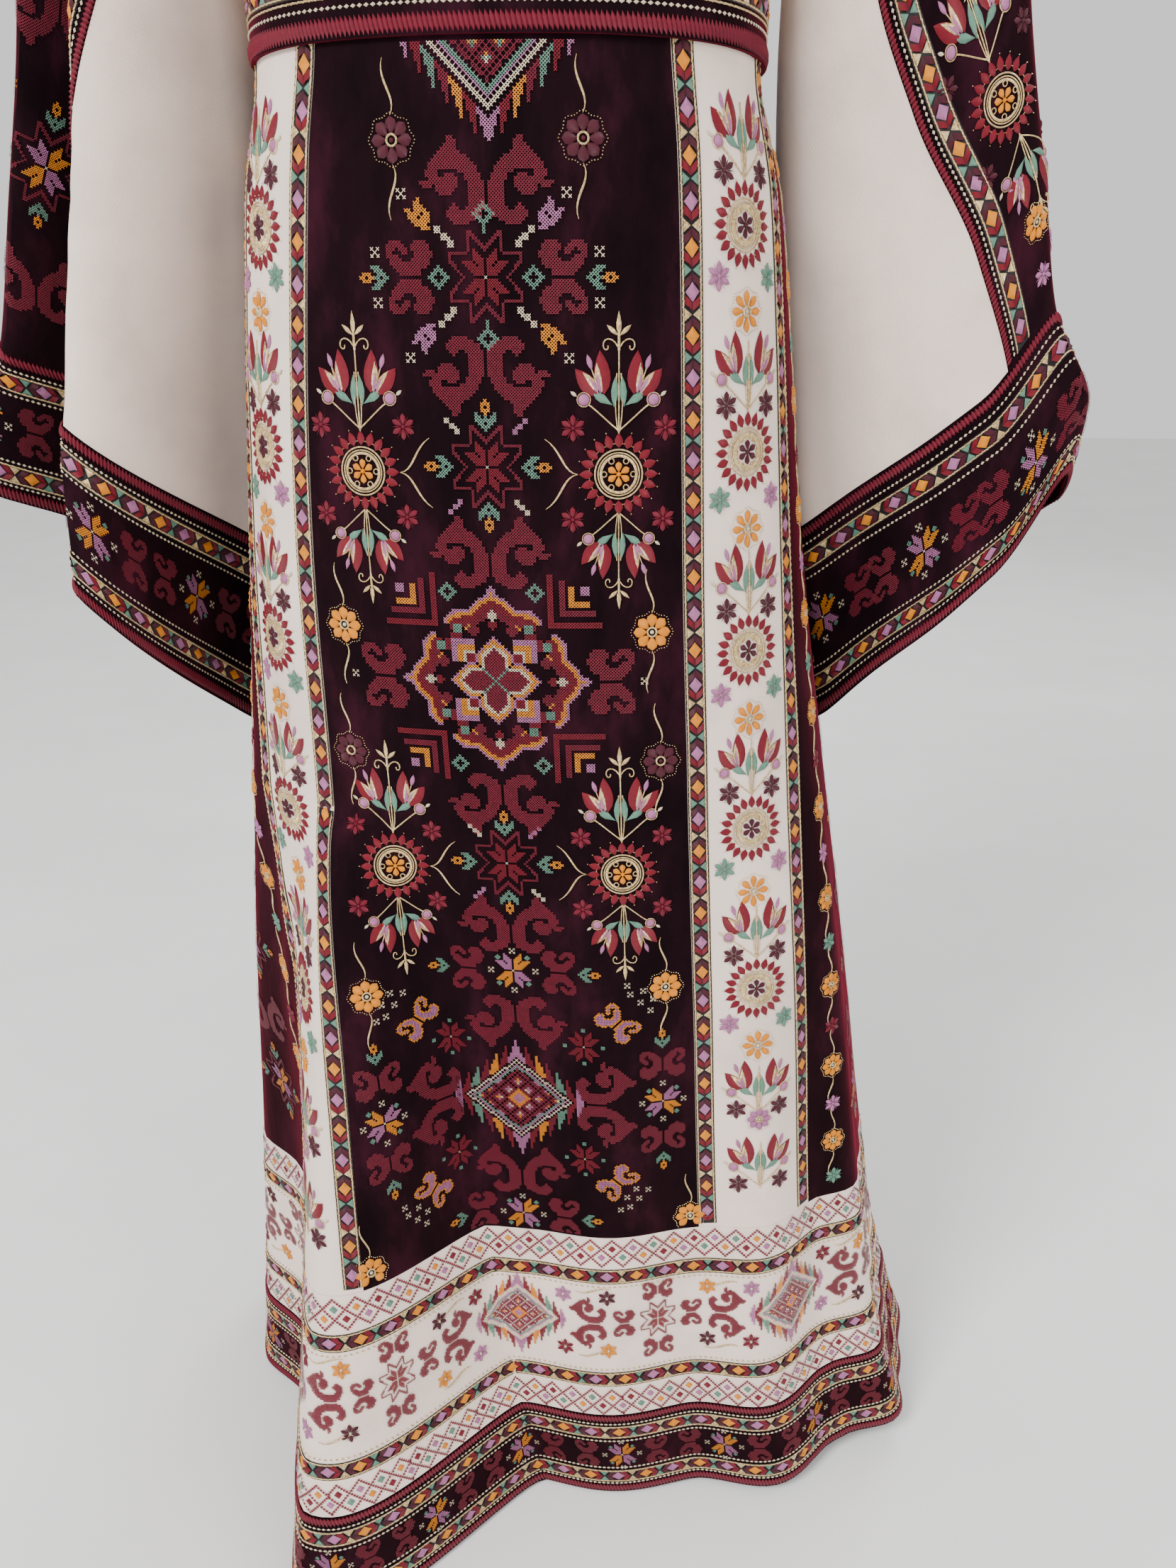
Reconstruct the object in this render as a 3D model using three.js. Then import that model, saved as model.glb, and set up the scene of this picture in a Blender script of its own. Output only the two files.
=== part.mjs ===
// An embroidered thobe as it hangs on a wearer: a long panelled dress with wide winged sleeves and a belt.
// Every piece of cloth is a thin closed wall that follows one hollow surface. Millimetres, +Z up.
// The origin is on the shoulder line. The front faces -Y, and the wearer's left is +X.
import * as THREE from "three";

// Driving dimensions
const CLOTH_WALL = 2;
const SLEEVE_WALL = 1.6;
const SEAM_GAP = 0.3;
const ARMHOLE_GAP = 0.5;
const HEM_Z = -1487;
const BORDER_Z = -1232;
const BAND_Z = -1402;
const BELT = { top: -372, bottom: -450, clear: 0.4, wall: 2.6 };
const NECK = { halfWidth: 75, frontDrop: 70, backDrop: 20, reach: 145 };
const SHOULDER = { slope: 0.25, from: 70, fade: 200 };
const ARMHOLE = { bottom: -222, corner: -190, scoop: 32, blend: 200 };
const HEM_LIFT = { from: -1150, rise: 22 };
const CUFF_STATION = 6;
const MOUTH_STATION = 8;
const BORDER_ROWS = [BORDER_Z, -1290, -1346, BAND_Z];
const BAND_ROWS = [BAND_Z, -1445, HEM_Z];
const FOLD_SHAPE = 1.7; // power of the cosine across a fold: higher is sharper
const SLOPE_STEP = 1.5; // distance either side of a point over which the body's slope is taken
const SLEEVE_STEP = 0.02; // the same on a sleeve, in turns and stations
const SLEEVE_SEAM = { turn: 0.0032, station: 0.0025 }; // half the gap at a sleeve's seams

const rows = (names, values) => {
  const keys = names.split(" ");
  return values.map((v) => Object.fromEntries(keys.map((k, i) => [k, v[i]])));
};

// Cross-sections of the body from the shoulder to the hem
const SECTIONS = rows("z centre halfWidth front back square", [
  [0, 0, 188, 0.3, 0.3, 0],
  [-2.4, 0, 188, 13, 12, 0],
  [-10, 0, 187, 27, 25, 0.01],
  [-26, 0, 184, 42, 39, 0.02],
  [-70, 0, 178, 66, 62, 0.03],
  [-120, 0, 172, 88, 80, 0.03],
  [-200, 0, 167, 112, 98, 0.03],
  [-280, 0, 162, 118, 102, 0.03],
  [-370, 0, 150, 112, 98, 0.03],
  [-450, 0, 151, 115, 102, 0.03],
  [-520, 1, 166, 118, 112, 0.03],
  [-600, 2, 176, 119, 120, 0.03],
  [-720, 3, 190, 120, 126, 0.03],
  [-880, 8, 211, 121, 132, 0.02],
  [-1040, 14, 233, 122, 138, 0.02],
  [-1230, 21, 255, 124, 146, 0.01],
  [-1340, 25, 268, 130, 152, 0.01],
  [-1410, 30, 280, 134, 157, 0.01],
  [-1500, 38, 298, 134, 165, 0.01],
]);

// Half width of the centre front, how far its middle hangs towards -X, width of a front strip with its
// braids, half width of the centre back
const CUT = rows("z front swing strip back", [
  [0, 75, 0, 90, 160],
  [-190, 80, 0, 90, 150],
  [-450, 98, -4, 90, 150],
  [-500, 104, -2, 90, 154],
  [-670, 115, 4, 90, 168],
  [-870, 121, 5.5, 90, 180],
  [-1030, 126, 7, 92, 190],
  [-1232, 135, 11.5, 97, 205],
  [-1500, 150, 14, 104, 225],
]);

// Skirt folds: angle round the body where the fold starts and at the hem, the height where it starts,
// its depth at the hem, the power of its growth, its half widths towards the front and away, how round its
// side towards the front is (the power of a cosine), its direction
const FOLDS = rows(
  "angle hemAngle start depth power inner hemInner outer hemOuter shape pushX pushY",
  [
    [-33, -38, -900, 150, 0.75, 16, 35.5, 14, 14, 1.2, 0.03, -1],
    [-62, -60, -620, 16, 0.6, 14, 14, 14, 14, 1.7, 1, 0],
    [17, 8, -850, 9, 0.5, 12, 14, 12, 14, 1.7, 0.1, -1],
    [50, 35, -850, 18, 1, 14, 14, 14, 14, 1.7, 0.3, -1],
    [68, 66, -800, 16, 1, 11, 13, 11, 13, 1.7, 0.8, -0.6],
    [104, 108, -880, 20, 0.8, 14, 16, 14, 16, 1.7, 0.9, 0.5],
    [132, 138, -560, 34, 0.8, 13, 17, 13, 17, 1.7, 0.6, 0.8],
    [163, 168, -500, 24, 0.7, 11, 15, 11, 15, 1.7, 0.1, 1],
    [-166, -162, -540, 36, 0.8, 12, 16, 12, 16, 1.7, -0.1, 1],
    [-138, -134, -600, 26, 0.8, 12, 16, 12, 16, 1.7, -0.6, 0.8],
    [-110, -106, -900, 22, 0.9, 12, 15, 12, 15, 1.7, -0.9, 0.4],
  ],
);

// Sleeve sections: outer edge, inner edge, depth to the front and back, angles where the velvet panel ends
const SLEEVE_COLUMNS =
  "outerX outerZ outerY innerX innerZ innerY front back panelFront panelBack";
const SLEEVE_LEFT = rows(SLEEVE_COLUMNS, [
  [186, -30, 0, 170, -222, 0, 58, 58, 62, 62],
  [236, -85, 0, 168, -270, 2, 54, 54, 80, 62],
  [266, -180, 0, 163, -335, 8, 46, 46, 100, 62],
  [286, -300, 2, 162, -425, 20, 40, 40, 106, 66],
  [306, -420, 4, 168, -540, 46, 36, 36, 86, 78],
  [328, -520, 6, 178, -640, 60, 34, 34, 62, 90],
  [346, -600, 10, 189, -735, 66, 32, 32, 51, 98],
  [374, -655, 12, 204, -808, 70, 32, 32, 51, 98],
  [368, -701, 12, 217, -880, 70, 32, 32, 51, 98],
]);
const SLEEVE_RIGHT = rows(SLEEVE_COLUMNS, [
  [186, -30, 0, 170, -222, 0, 58, 58, 62, 62],
  [236, -85, 0, 168, -270, 2, 54, 54, 76, 66],
  [262, -180, -8, 163, -335, 8, 46, 46, 92, 72],
  [276, -300, -18, 162, -425, 18, 44, 40, 98, 76],
  [292, -420, -26, 168, -540, 34, 44, 36, 80, 78],
  [316, -520, -28, 180, -640, 56, 44, 34, 66, 80],
  [336, -600, -30, 190, -752, 66, 44, 32, 62, 82],
  [352, -642, -32, 202, -825, 70, 44, 32, 62, 82],
  [366, -686, -32, 213, -900, 72, 44, 32, 62, 82],
]);

// Sleeve folds: angle, half width, station where each starts, its push at the cuff, more push at the mouth
const SLEEVE_FOLD_COLUMNS = "angle width start x y z mouthX";
const FOLDS_LEFT = rows(SLEEVE_FOLD_COLUMNS, [
  [25, 38, 4, 0, -4, 22, 0],
  [118, 34, 1.5, 0, 10, 0, 0],
  [-60, 30, 1.5, 0, 12, 0, 0],
  [-118, 34, 2.0, 0, -10, 0, 0],
]);
const FOLDS_RIGHT = rows(SLEEVE_FOLD_COLUMNS, [
  [52, 27, 1, -32, 50, -8, 0],
  [88, 48, 1, 2, -48, 12, -20],
  [-64, 30, 1.5, 0, 12, 0, 0],
  [-120, 34, 2.0, 0, -10, 0, 0],
]);

// Heights of the rows of points in the body panels, and the share of a panel's width at each column
const BODY_ROWS = [
  0, -2.4, -10, -26, -60, -100, -145, -190, -235, -290, -330, -372, -411, -450,
  -500, -560, -630, -705, -780, -855, -930, -1000, -1060, -1120, -1176, -1232,
];
const FRONT_COLUMNS = evenly(-1, 1, 14);
const STRIP_COLUMNS = evenly(0, 1, 5);
const SIDE_COLUMNS = evenly(0, 1, 8);
const BACK_COLUMNS = [
  -1, -0.85, -0.7, -0.55, -0.4, -0.27, -0.13, 0, 0.13, 0.27, 0.4, 0.55, 0.7,
  0.85, 1,
];
const SLEEVE_STATIONS = [0, 0.3, 0.7, 1.2, 1.8, 2.5, 3.2, 3.9, 4.6, 5.3, 6];
const CUFF_STATIONS = [6, 6.5, 7, 7.5, 8];
const RING_SAMPLES = 720;

function evenly(from, to, steps) {
  return Array.from({ length: steps + 1 }, (_, i) => from + ((to - from) * i) / steps);
}
const radians = (degrees) => (degrees * Math.PI) / 180;
const clamp = (v, lo, hi) => Math.min(hi, Math.max(lo, v));
const mix = (a, b, t) => a + (b - a) * t;
const bump = (distance, width, shape = FOLD_SHAPE) =>
  Math.cos((Math.PI / 2) * clamp(Math.abs(distance) / width, 0, 1)) ** shape;
const wrap = (angle) => angle - 2 * Math.PI * Math.round(angle / (2 * Math.PI));

// A smooth curve through one column of a table that never overshoots its rows
function curve(at, table, key, value) {
  const list = table[0][key] > table[table.length - 1][key] ? [...table].reverse() : table;
  const x = list.map((r) => r[key]);
  const y = list.map((r) => r[value]);
  const last = x.length - 1;
  const t = clamp(at, x[0], x[last]);
  let i = 0;
  while (i < last - 1 && t > x[i + 1]) i++;
  const slope = (k) => (y[k + 1] - y[k]) / (x[k + 1] - x[k]);
  const tangent = (k) => {
    if (k === 0) return slope(0);
    if (k === last) return slope(last - 1);
    const before = slope(k - 1);
    const after = slope(k);
    return before * after > 0 ? (2 * before * after) / (before + after) : 0;
  };
  const h = x[i + 1] - x[i];
  const u = (t - x[i]) / h;
  return (
    (1 + 2 * u) * (1 - u) ** 2 * y[i] +
    u * (1 - u) ** 2 * h * tangent(i) +
    u * u * (3 - 2 * u) * y[i + 1] +
    u * u * (u - 1) * h * tangent(i + 1)
  );
}

// The point of the body's surface at an angle from the front and a height: a squared ellipse with folds
function bodyPoint(angle, z) {
  const section = (name) => curve(z, SECTIONS, "z", name);
  const k = section("square");
  const depth = Math.cos(angle) >= 0 ? section("front") : section("back");
  let x = (section("halfWidth") * (Math.sin(angle) + k * Math.sin(3 * angle))) / (1 - k);
  let y = (-depth * (Math.cos(angle) - k * Math.cos(3 * angle))) / (1 - k);
  for (const f of FOLDS) {
    const grown = clamp((f.start - z) / (f.start - HEM_Z), 0, 1);
    const centre = radians(mix(f.angle, f.hemAngle, grown));
    const away = wrap(angle - centre);
    const towardsFront = Math.sign(-centre) * away > 0;
    const width = towardsFront
      ? mix(f.inner, f.hemInner, grown)
      : mix(f.outer, f.hemOuter, grown);
    const shape = towardsFront ? f.shape : FOLD_SHAPE;
    const push = f.depth * grown ** f.power * bump(away, radians(width), shape);
    x += push * f.pushX;
    y += push * f.pushY;
  }
  const low = clamp((HEM_LIFT.from - z) / (HEM_LIFT.from - HEM_Z), 0, 1);
  const lift = HEM_LIFT.rise * low ** 1.5 * clamp(Math.sin(angle), 0, 1) ** 2;
  const nearTop = clamp(1 + z / SHOULDER.fade, 0, 1) ** 1.5;
  const drop = SHOULDER.slope * Math.max(Math.abs(x) - SHOULDER.from, 0) * nearTop;
  return new THREE.Vector3(x + section("centre"), y, z + lift - drop);
}

// One ring of the body with its length measured round from the front centre, positive towards +X
const ringCache = new Map();
function ringAt(z) {
  if (ringCache.has(z)) return ringCache.get(z);
  const points = evenly(-Math.PI, Math.PI, RING_SAMPLES).map((a) => bodyPoint(a, z));
  const lengths = [0];
  for (let i = 1; i < points.length; i++) {
    const step = Math.hypot(points[i].x - points[i - 1].x, points[i].y - points[i - 1].y);
    lengths.push(lengths[i - 1] + step);
  }
  const zero = lengths[RING_SAMPLES / 2];
  const made = { points, lengths: lengths.map((l) => l - zero) };
  ringCache.set(z, made);
  return made;
}
const halfLength = (side, z) => {
  const { lengths } = ringAt(z);
  return side > 0 ? lengths[RING_SAMPLES] : -lengths[0];
};
function pointAt(length, z) {
  const { points, lengths } = ringAt(z);
  const wanted = clamp(length, lengths[0], lengths[RING_SAMPLES]);
  let low = 0;
  let high = RING_SAMPLES;
  while (high - low > 1) {
    const middle = (low + high) >> 1;
    if (lengths[middle] <= wanted) low = middle;
    else high = middle;
  }
  const t = (wanted - lengths[low]) / Math.max(lengths[high] - lengths[low], 1e-9);
  return points[low].clone().lerp(points[high], t);
}
function lengthAtAngle(angle, z) {
  const { lengths } = ringAt(z);
  const at = ((angle + Math.PI) / (2 * Math.PI)) * RING_SAMPLES;
  const i = clamp(Math.floor(at), 0, RING_SAMPLES - 1);
  return mix(lengths[i], lengths[i + 1], at - i);
}

// The armhole: a loop round the side of the body, from the shoulder (0) by the front to the underarm (pi)
const armholeZ = (turn) => (ARMHOLE.bottom * (1 - Math.cos(turn))) / 2;
const armholeAngle = (turn) => Math.PI / 2 - radians(ARMHOLE.scoop) * Math.sin(turn);
const turnAtZ = (z) => Math.acos(clamp(1 - (2 * z) / ARMHOLE.bottom, -1, 1));
const armholePoint = (turn, side) => bodyPoint(side * armholeAngle(turn), armholeZ(turn));

// Seam lines, as lengths round the ring
const frontSeam = (side, z) => curve(z, CUT, "z", "front") - side * curve(z, CUT, "z", "swing");
const blendBelowArmhole = (z) => clamp(1 - (ARMHOLE.corner - z) / ARMHOLE.blend, 0, 1) ** 2;
function outerSeam(side, z) {
  const inPanel = (at) => frontSeam(side, at) + curve(at, CUT, "z", "strip");
  const onArmhole = (at) => side * lengthAtAngle(side * armholeAngle(turnAtZ(at)), at);
  if (z >= ARMHOLE.corner) return onArmhole(z);
  const step = onArmhole(ARMHOLE.corner) - inPanel(ARMHOLE.corner);
  return inPanel(z) + step * blendBelowArmhole(z);
}
function backSeam(side, z) {
  const inPanel = (at) => curve(at, CUT, "z", "back");
  const onArmhole = (at) =>
    halfLength(side, at) - side * lengthAtAngle(side * armholeAngle(-turnAtZ(at)), at);
  if (z >= ARMHOLE.corner) return onArmhole(z);
  const step = onArmhole(ARMHOLE.corner) - inPanel(ARMHOLE.corner);
  return inPanel(z) + step * blendBelowArmhole(z);
}

// The length round the ring of a column of one panel, keeping half a seam gap from the panel's edges
const seam = SEAM_GAP / 2;
const COLUMN = {
  front: (side, u, z, gap) => mix(gap - frontSeam(-1, z), frontSeam(1, z) - gap, (u + 1) / 2),
  strip: (side, u, z, gap) => {
    const from = frontSeam(side, z) + gap;
    return side * mix(from, outerSeam(side, z) - gap, u);
  },
  side: (side, u, z, gap) => {
    const from = outerSeam(side, z) + gap;
    return side * mix(from, halfLength(side, z) - backSeam(side, z) - gap, u);
  },
  back: (side, u, z, gap) => {
    const from = u >= 0 ? 1 : -1;
    return from * halfLength(from, z) - u * (backSeam(from, z) - gap);
  },
};

// The cloth's outward direction at a length and height, from the slope of the surface
function bodyNormal(length, z) {
  const round = pointAt(length + SLOPE_STEP, z).sub(pointAt(length - SLOPE_STEP, z));
  const above = Math.min(z + SLOPE_STEP, 0);
  const up = pointAt(length, above).sub(pointAt(length, z - SLOPE_STEP));
  const normal = round.cross(up);
  if (z > -SEAM_GAP) normal.y = 0; // the cloth is level where front and back meet on the shoulder
  return normal.normalize();
}

// A closed wall between two grids of points with the same rows and columns
function wallMesh(name, outer, inner, material, closedRound = false) {
  const height = outer.length;
  const width = outer[0].length;
  const positions = [];
  for (const grid of [outer, inner])
    for (const row of grid) for (const p of row) positions.push(p.x, p.y, p.z);
  const id = (layer, r, c) => layer * height * width + r * width + (c % width);
  const faces = [];
  const quad = (a, b, c, d) => faces.push(a, b, c, a, c, d);
  const spans = closedRound ? width : width - 1;
  for (let r = 0; r < height - 1; r++)
    for (let c = 0; c < spans; c++) {
      quad(id(0, r, c), id(0, r + 1, c), id(0, r + 1, c + 1), id(0, r, c + 1));
      quad(id(1, r, c), id(1, r, c + 1), id(1, r + 1, c + 1), id(1, r + 1, c));
    }
  const bottom = height - 1;
  for (let c = 0; c < spans; c++) {
    quad(id(0, 0, c + 1), id(1, 0, c + 1), id(1, 0, c), id(0, 0, c));
    quad(id(0, bottom, c + 1), id(0, bottom, c), id(1, bottom, c), id(1, bottom, c + 1));
  }
  const right = width - 1;
  if (!closedRound)
    for (let r = 0; r < height - 1; r++) {
      quad(id(0, r + 1, 0), id(0, r, 0), id(1, r, 0), id(1, r + 1, 0));
      quad(id(0, r + 1, right), id(1, r + 1, right), id(1, r, right), id(0, r, right));
    }
  const point = (i) => new THREE.Vector3().fromArray(positions, 3 * i);
  let volume = 0;
  for (let i = 0; i < faces.length; i += 3)
    volume += point(faces[i]).dot(point(faces[i + 1]).cross(point(faces[i + 2])));
  if (volume < 0)
    for (let i = 0; i < faces.length; i += 3)
      [faces[i + 1], faces[i + 2]] = [faces[i + 2], faces[i + 1]];
  const geometry = new THREE.BufferGeometry();
  geometry.setAttribute("position", new THREE.Float32BufferAttribute(positions, 3));
  geometry.setIndex(faces);
  geometry.computeVertexNormals();
  const mesh = new THREE.Mesh(geometry, material);
  mesh.name = name;
  return mesh;
}

// A piece of the body: each cell gives a length and a height, and the wall lies inside the surface
function bodyWall(name, cells, material, lift = 0, wall = CLOTH_WALL, closedRound = false) {
  const place = (distance) =>
    cells.map((row) =>
      row.map(({ length, z }) =>
        pointAt(length, z).addScaledVector(bodyNormal(length, z), distance),
      ),
    );
  return wallMesh(name, place(lift), place(lift - wall), material, closedRound);
}

const velvet = new THREE.MeshStandardMaterial({ color: 0x2a0f1c, roughness: 0.85, metalness: 0 });
const crepe = new THREE.MeshStandardMaterial({ color: 0xdccbc0, roughness: 0.8, metalness: 0 });
const beltCloth = new THREE.MeshStandardMaterial({ color: 0x5a1730, roughness: 0.8, metalness: 0 });

// The panels' bottom row stops half a gap above the border seam
const panelRows = [...BODY_ROWS.slice(0, -1), BORDER_Z + seam];

// Row heights under a neckline: rows above the neck's reach are squeezed below the curve
const underNeck = (z, drop) => (z < -NECK.reach ? z : mix(-drop, -NECK.reach, z / -NECK.reach));

function frontPanel() {
  const cells = panelRows.map((z) =>
    FRONT_COLUMNS.map((u) => {
      const drop = NECK.frontDrop * Math.sqrt(Math.max(0, 1 - u * u));
      const at = underNeck(z, drop);
      return { length: COLUMN.front(0, u, at, seam), z: at };
    }),
  );
  return bodyWall("front_panel", cells, velvet);
}

function backPanel() {
  const shoulder = backSeam(1, 0);
  const cells = panelRows.map((z) =>
    BACK_COLUMNS.map((u) => {
      const across = Math.min(1, (Math.abs(u) * shoulder) / NECK.halfWidth);
      const drop = NECK.backDrop * Math.sqrt(Math.max(0, 1 - across * across));
      const at = underNeck(z, drop);
      return { length: COLUMN.back(0, u, at, seam), z: at };
    }),
  );
  return bodyWall("back_panel", cells, velvet);
}

function frontStrip(side, name) {
  const cells = panelRows.map((z) =>
    STRIP_COLUMNS.map((u) => ({ length: COLUMN.strip(side, u, z, seam), z })),
  );
  return bodyWall(name, cells, crepe);
}

function sidePanel(side, name) {
  const corner = turnAtZ(ARMHOLE.corner);
  const top = SIDE_COLUMNS.map((u) => {
    const turn = mix(corner, 2 * Math.PI - corner, u);
    const z = armholeZ(turn);
    const edge = u === 0 ? side * seam : u === 1 ? -side * seam : 0;
    return { length: lengthAtAngle(side * armholeAngle(turn), z) + edge, z };
  });
  const below = panelRows
    .filter((z) => z < ARMHOLE.bottom)
    .map((z) => SIDE_COLUMNS.map((u) => ({ length: COLUMN.side(side, u, z, seam), z })));
  return bodyWall(name, [top, ...below], velvet);
}

// The columns of the whole ring in order, from one side seam round the front, or round the back
const middle = SIDE_COLUMNS.length >> 1;
const sideFront = SIDE_COLUMNS.slice(0, middle + 1);
const sideBack = SIDE_COLUMNS.slice(middle);
const columnsOf = (panel, side, list) => list.map((u) => ({ panel, side, u }));
const FRONT_HALF = [
  ...columnsOf("side", -1, [...sideFront].reverse()),
  ...columnsOf("strip", -1, [...STRIP_COLUMNS].reverse().slice(1)),
  ...columnsOf("front", 0, FRONT_COLUMNS.slice(1, -1)),
  ...columnsOf("strip", 1, STRIP_COLUMNS.slice(0, -1)),
  ...columnsOf("side", 1, sideFront),
];
const BACK_HALF = [
  ...columnsOf("side", 1, sideBack.slice(0, -1)),
  ...columnsOf("back", 0, [...BACK_COLUMNS].reverse()),
  ...columnsOf("side", -1, [...sideBack].reverse().slice(1)),
];
const ringCells = (columns, heights, trim) =>
  heights.map((z) =>
    columns.map(({ panel, side, u }, i) => {
      const edge = i === 0 ? trim : i === columns.length - 1 ? -trim : 0;
      return { length: COLUMN[panel](side, u, z, 0) + edge, z };
    }),
  );

function hemPiece(name, columns, heights, material) {
  const cut = [heights[0] - seam, ...heights.slice(1, -1), heights[heights.length - 1] + seam];
  return bodyWall(name, ringCells(columns, cut, seam), material);
}

function belt() {
  const heights = BODY_ROWS.filter((z) => z <= BELT.top && z >= BELT.bottom);
  const columns = [...FRONT_HALF, ...BACK_HALF.slice(1, -1)];
  const lift = BELT.clear + BELT.wall;
  return bodyWall("belt", ringCells(columns, heights, 0), beltCloth, lift, BELT.wall, true);
}

// The turns of the sleeve's columns: the armhole's own corner points, with one more between each front pair
function armholeTurns() {
  const edge = BODY_ROWS.filter((z) => z >= ARMHOLE.corner).map(turnAtZ);
  const corner = edge[edge.length - 1];
  const under = SIDE_COLUMNS.slice(1, -1).map((u) => mix(corner, 2 * Math.PI - corner, u));
  const back = edge.slice(1).reverse().map((t) => 2 * Math.PI - t);
  return [...edge, ...under, ...back];
}
function withHalves(turns) {
  return turns.flatMap((t, i) => {
    const next = turns[i + 1];
    return next !== undefined && t < Math.PI ? [t, (t + next) / 2] : [t];
  });
}
const CORNERS = armholeTurns();
const TURNS = withHalves(CORNERS);

// The armhole's edge as the body panels have it: straight between their corner points
function armholeEdge(turn, side) {
  const full = 2 * Math.PI;
  const at = ((turn % full) + full) % full;
  const i = CORNERS.findLastIndex((t) => t <= at);
  const next = i + 1 < CORNERS.length ? CORNERS[i + 1] : full;
  const share = (at - CORNERS[i]) / (next - CORNERS[i]);
  return armholePoint(CORNERS[i], side).lerp(armholePoint(next, side), share);
}

// The angle round a sleeve of a column that starts at a given turn of the armhole
function sleeveAngle(turn, station, table) {
  const front = radians(curve(station, table, "index", "panelFront"));
  const back = radians(curve(station, table, "index", "panelBack"));
  const start = radians(table[0].panelFront);
  const round = 2 * Math.PI;
  const at = wrap(turn);
  if (Math.abs(at) <= start) return at >= 0 ? (at / start) * front : (at / start) * back;
  const rest = (at > 0 ? at : at + round) - start;
  return mix(front, round - back, rest / (round - 2 * start));
}

// The point of a sleeve at a turn of the armhole and a station from the armhole (0) to the mouth (8)
function sleevePoint(turn, station, side, table, folds) {
  const ring = (at, name) => curve(at, table, "index", name);
  const loft = (angle, at) => {
    const c = Math.cos(angle);
    const s = Math.sin(angle);
    const depth = s >= 0 ? ring(at, "front") : ring(at, "back");
    const along = (outer, inner) =>
      (ring(at, outer) + ring(at, inner)) / 2 + ((ring(at, outer) - ring(at, inner)) / 2) * c;
    const p = new THREE.Vector3(
      side * along("outerX", "innerX"),
      along("outerY", "innerY") - depth * s,
      along("outerZ", "innerZ"),
    );
    for (const f of folds) {
      const grown = clamp((at - f.start) / (CUFF_STATION - f.start), 0, 1.1);
      const past = clamp((at - CUFF_STATION) / (MOUTH_STATION - CUFF_STATION), 0, 1);
      const push = grown * bump(wrap(angle - radians(f.angle)), radians(f.width));
      p.x += side * push * (f.x + past * f.mouthX);
      p.y += push * f.y;
      p.z += push * f.z;
    }
    return p;
  };
  const p = loft(sleeveAngle(turn, station, table), station);
  if (station < 1) {
    const edge = armholeEdge(turn, side);
    edge.x += side * ARMHOLE_GAP;
    const miss = edge.sub(loft(sleeveAngle(turn, 0, table), 0));
    p.addScaledVector(miss, (1 - station) ** 2);
  }
  return p;
}

// The outer and inner points of a sleeve wall
function sleeveGrid(turns, stations, side, table, folds, wall) {
  const at = (turn, station) => sleevePoint(turn, station, side, table, folds);
  const step = SLEEVE_STEP;
  const outer = stations.map((t) => turns.map((turn) => at(turn, t)));
  const inner = stations.map((t, r) =>
    turns.map((turn, c) => {
      const round = at(turn + step, t).sub(at(turn - step, t));
      const along = at(turn, Math.max(t - step, 0)).sub(at(turn, t + step));
      const normal = round.cross(along).normalize().multiplyScalar(-side);
      return outer[r][c].clone().addScaledVector(normal, -wall);
    }),
  );
  return [outer, inner];
}

function sleevePieces(side, word, rawTable, folds) {
  const table = rawTable.map((r, index) => ({ ...r, index }));
  const limit = radians(table[0].panelFront);
  const nearest = (wanted) =>
    TURNS.reduce((best, t, i) => (Math.abs(t - wanted) < Math.abs(TURNS[best] - wanted) ? i : best), 0);
  const front = nearest(limit);
  const back = nearest(2 * Math.PI - limit);
  table[0].panelFront = (TURNS[front] * 180) / Math.PI; // the velvet starts on a corner of the armhole
  const crepeTurns = TURNS.slice(front, back + 1);
  const panelTurns = [...TURNS.slice(back), ...TURNS.slice(0, front + 1)];
  const trim = (turns) => {
    const [first, last] = [turns[0], turns[turns.length - 1]];
    return [first + SLEEVE_SEAM.turn, ...turns.slice(1, -1), last - SLEEVE_SEAM.turn];
  };
  const stations = [...SLEEVE_STATIONS.slice(0, -1), CUFF_STATION - SLEEVE_SEAM.station];
  const cuffs = [CUFF_STATION + SLEEVE_SEAM.station, ...CUFF_STATIONS.slice(1)];
  const make = (name, turns, list, material, closed) => {
    const [outer, inner] = sleeveGrid(turns, list, side, table, folds, SLEEVE_WALL);
    return wallMesh(name, outer, inner, material, closed);
  };
  return [
    make("sleeve_" + word, trim(crepeTurns), stations, crepe, false),
    make("sleeve_panel_" + word, trim(panelTurns), stations, velvet, false),
    make("cuff_" + word, TURNS, cuffs, velvet, true),
  ];
}

const thobe = new THREE.Group();
thobe.add(
  frontPanel(),
  backPanel(),
  frontStrip(1, "front_strip_left"),
  frontStrip(-1, "front_strip_right"),
  sidePanel(1, "side_panel_left"),
  sidePanel(-1, "side_panel_right"),
  hemPiece("hem_border_front", FRONT_HALF, BORDER_ROWS, crepe),
  hemPiece("hem_border_back", BACK_HALF, BORDER_ROWS, crepe),
  hemPiece("hem_band_front", FRONT_HALF, BAND_ROWS, velvet),
  hemPiece("hem_band_back", BACK_HALF, BAND_ROWS, velvet),
  belt(),
  ...sleevePieces(1, "left", SLEEVE_LEFT, FOLDS_LEFT),
  ...sleevePieces(-1, "right", SLEEVE_RIGHT, FOLDS_RIGHT),
);

export default thobe;
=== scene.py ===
"""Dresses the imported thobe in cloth, braid and embroidery.

Lengths on the cloth are millimetres, and the mesh points are in metres. A place on a cloth is a pair: the
length round it from its own zero line, and its height (body) or its station down the sleeve (0 to 8).
"""

import math

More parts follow.
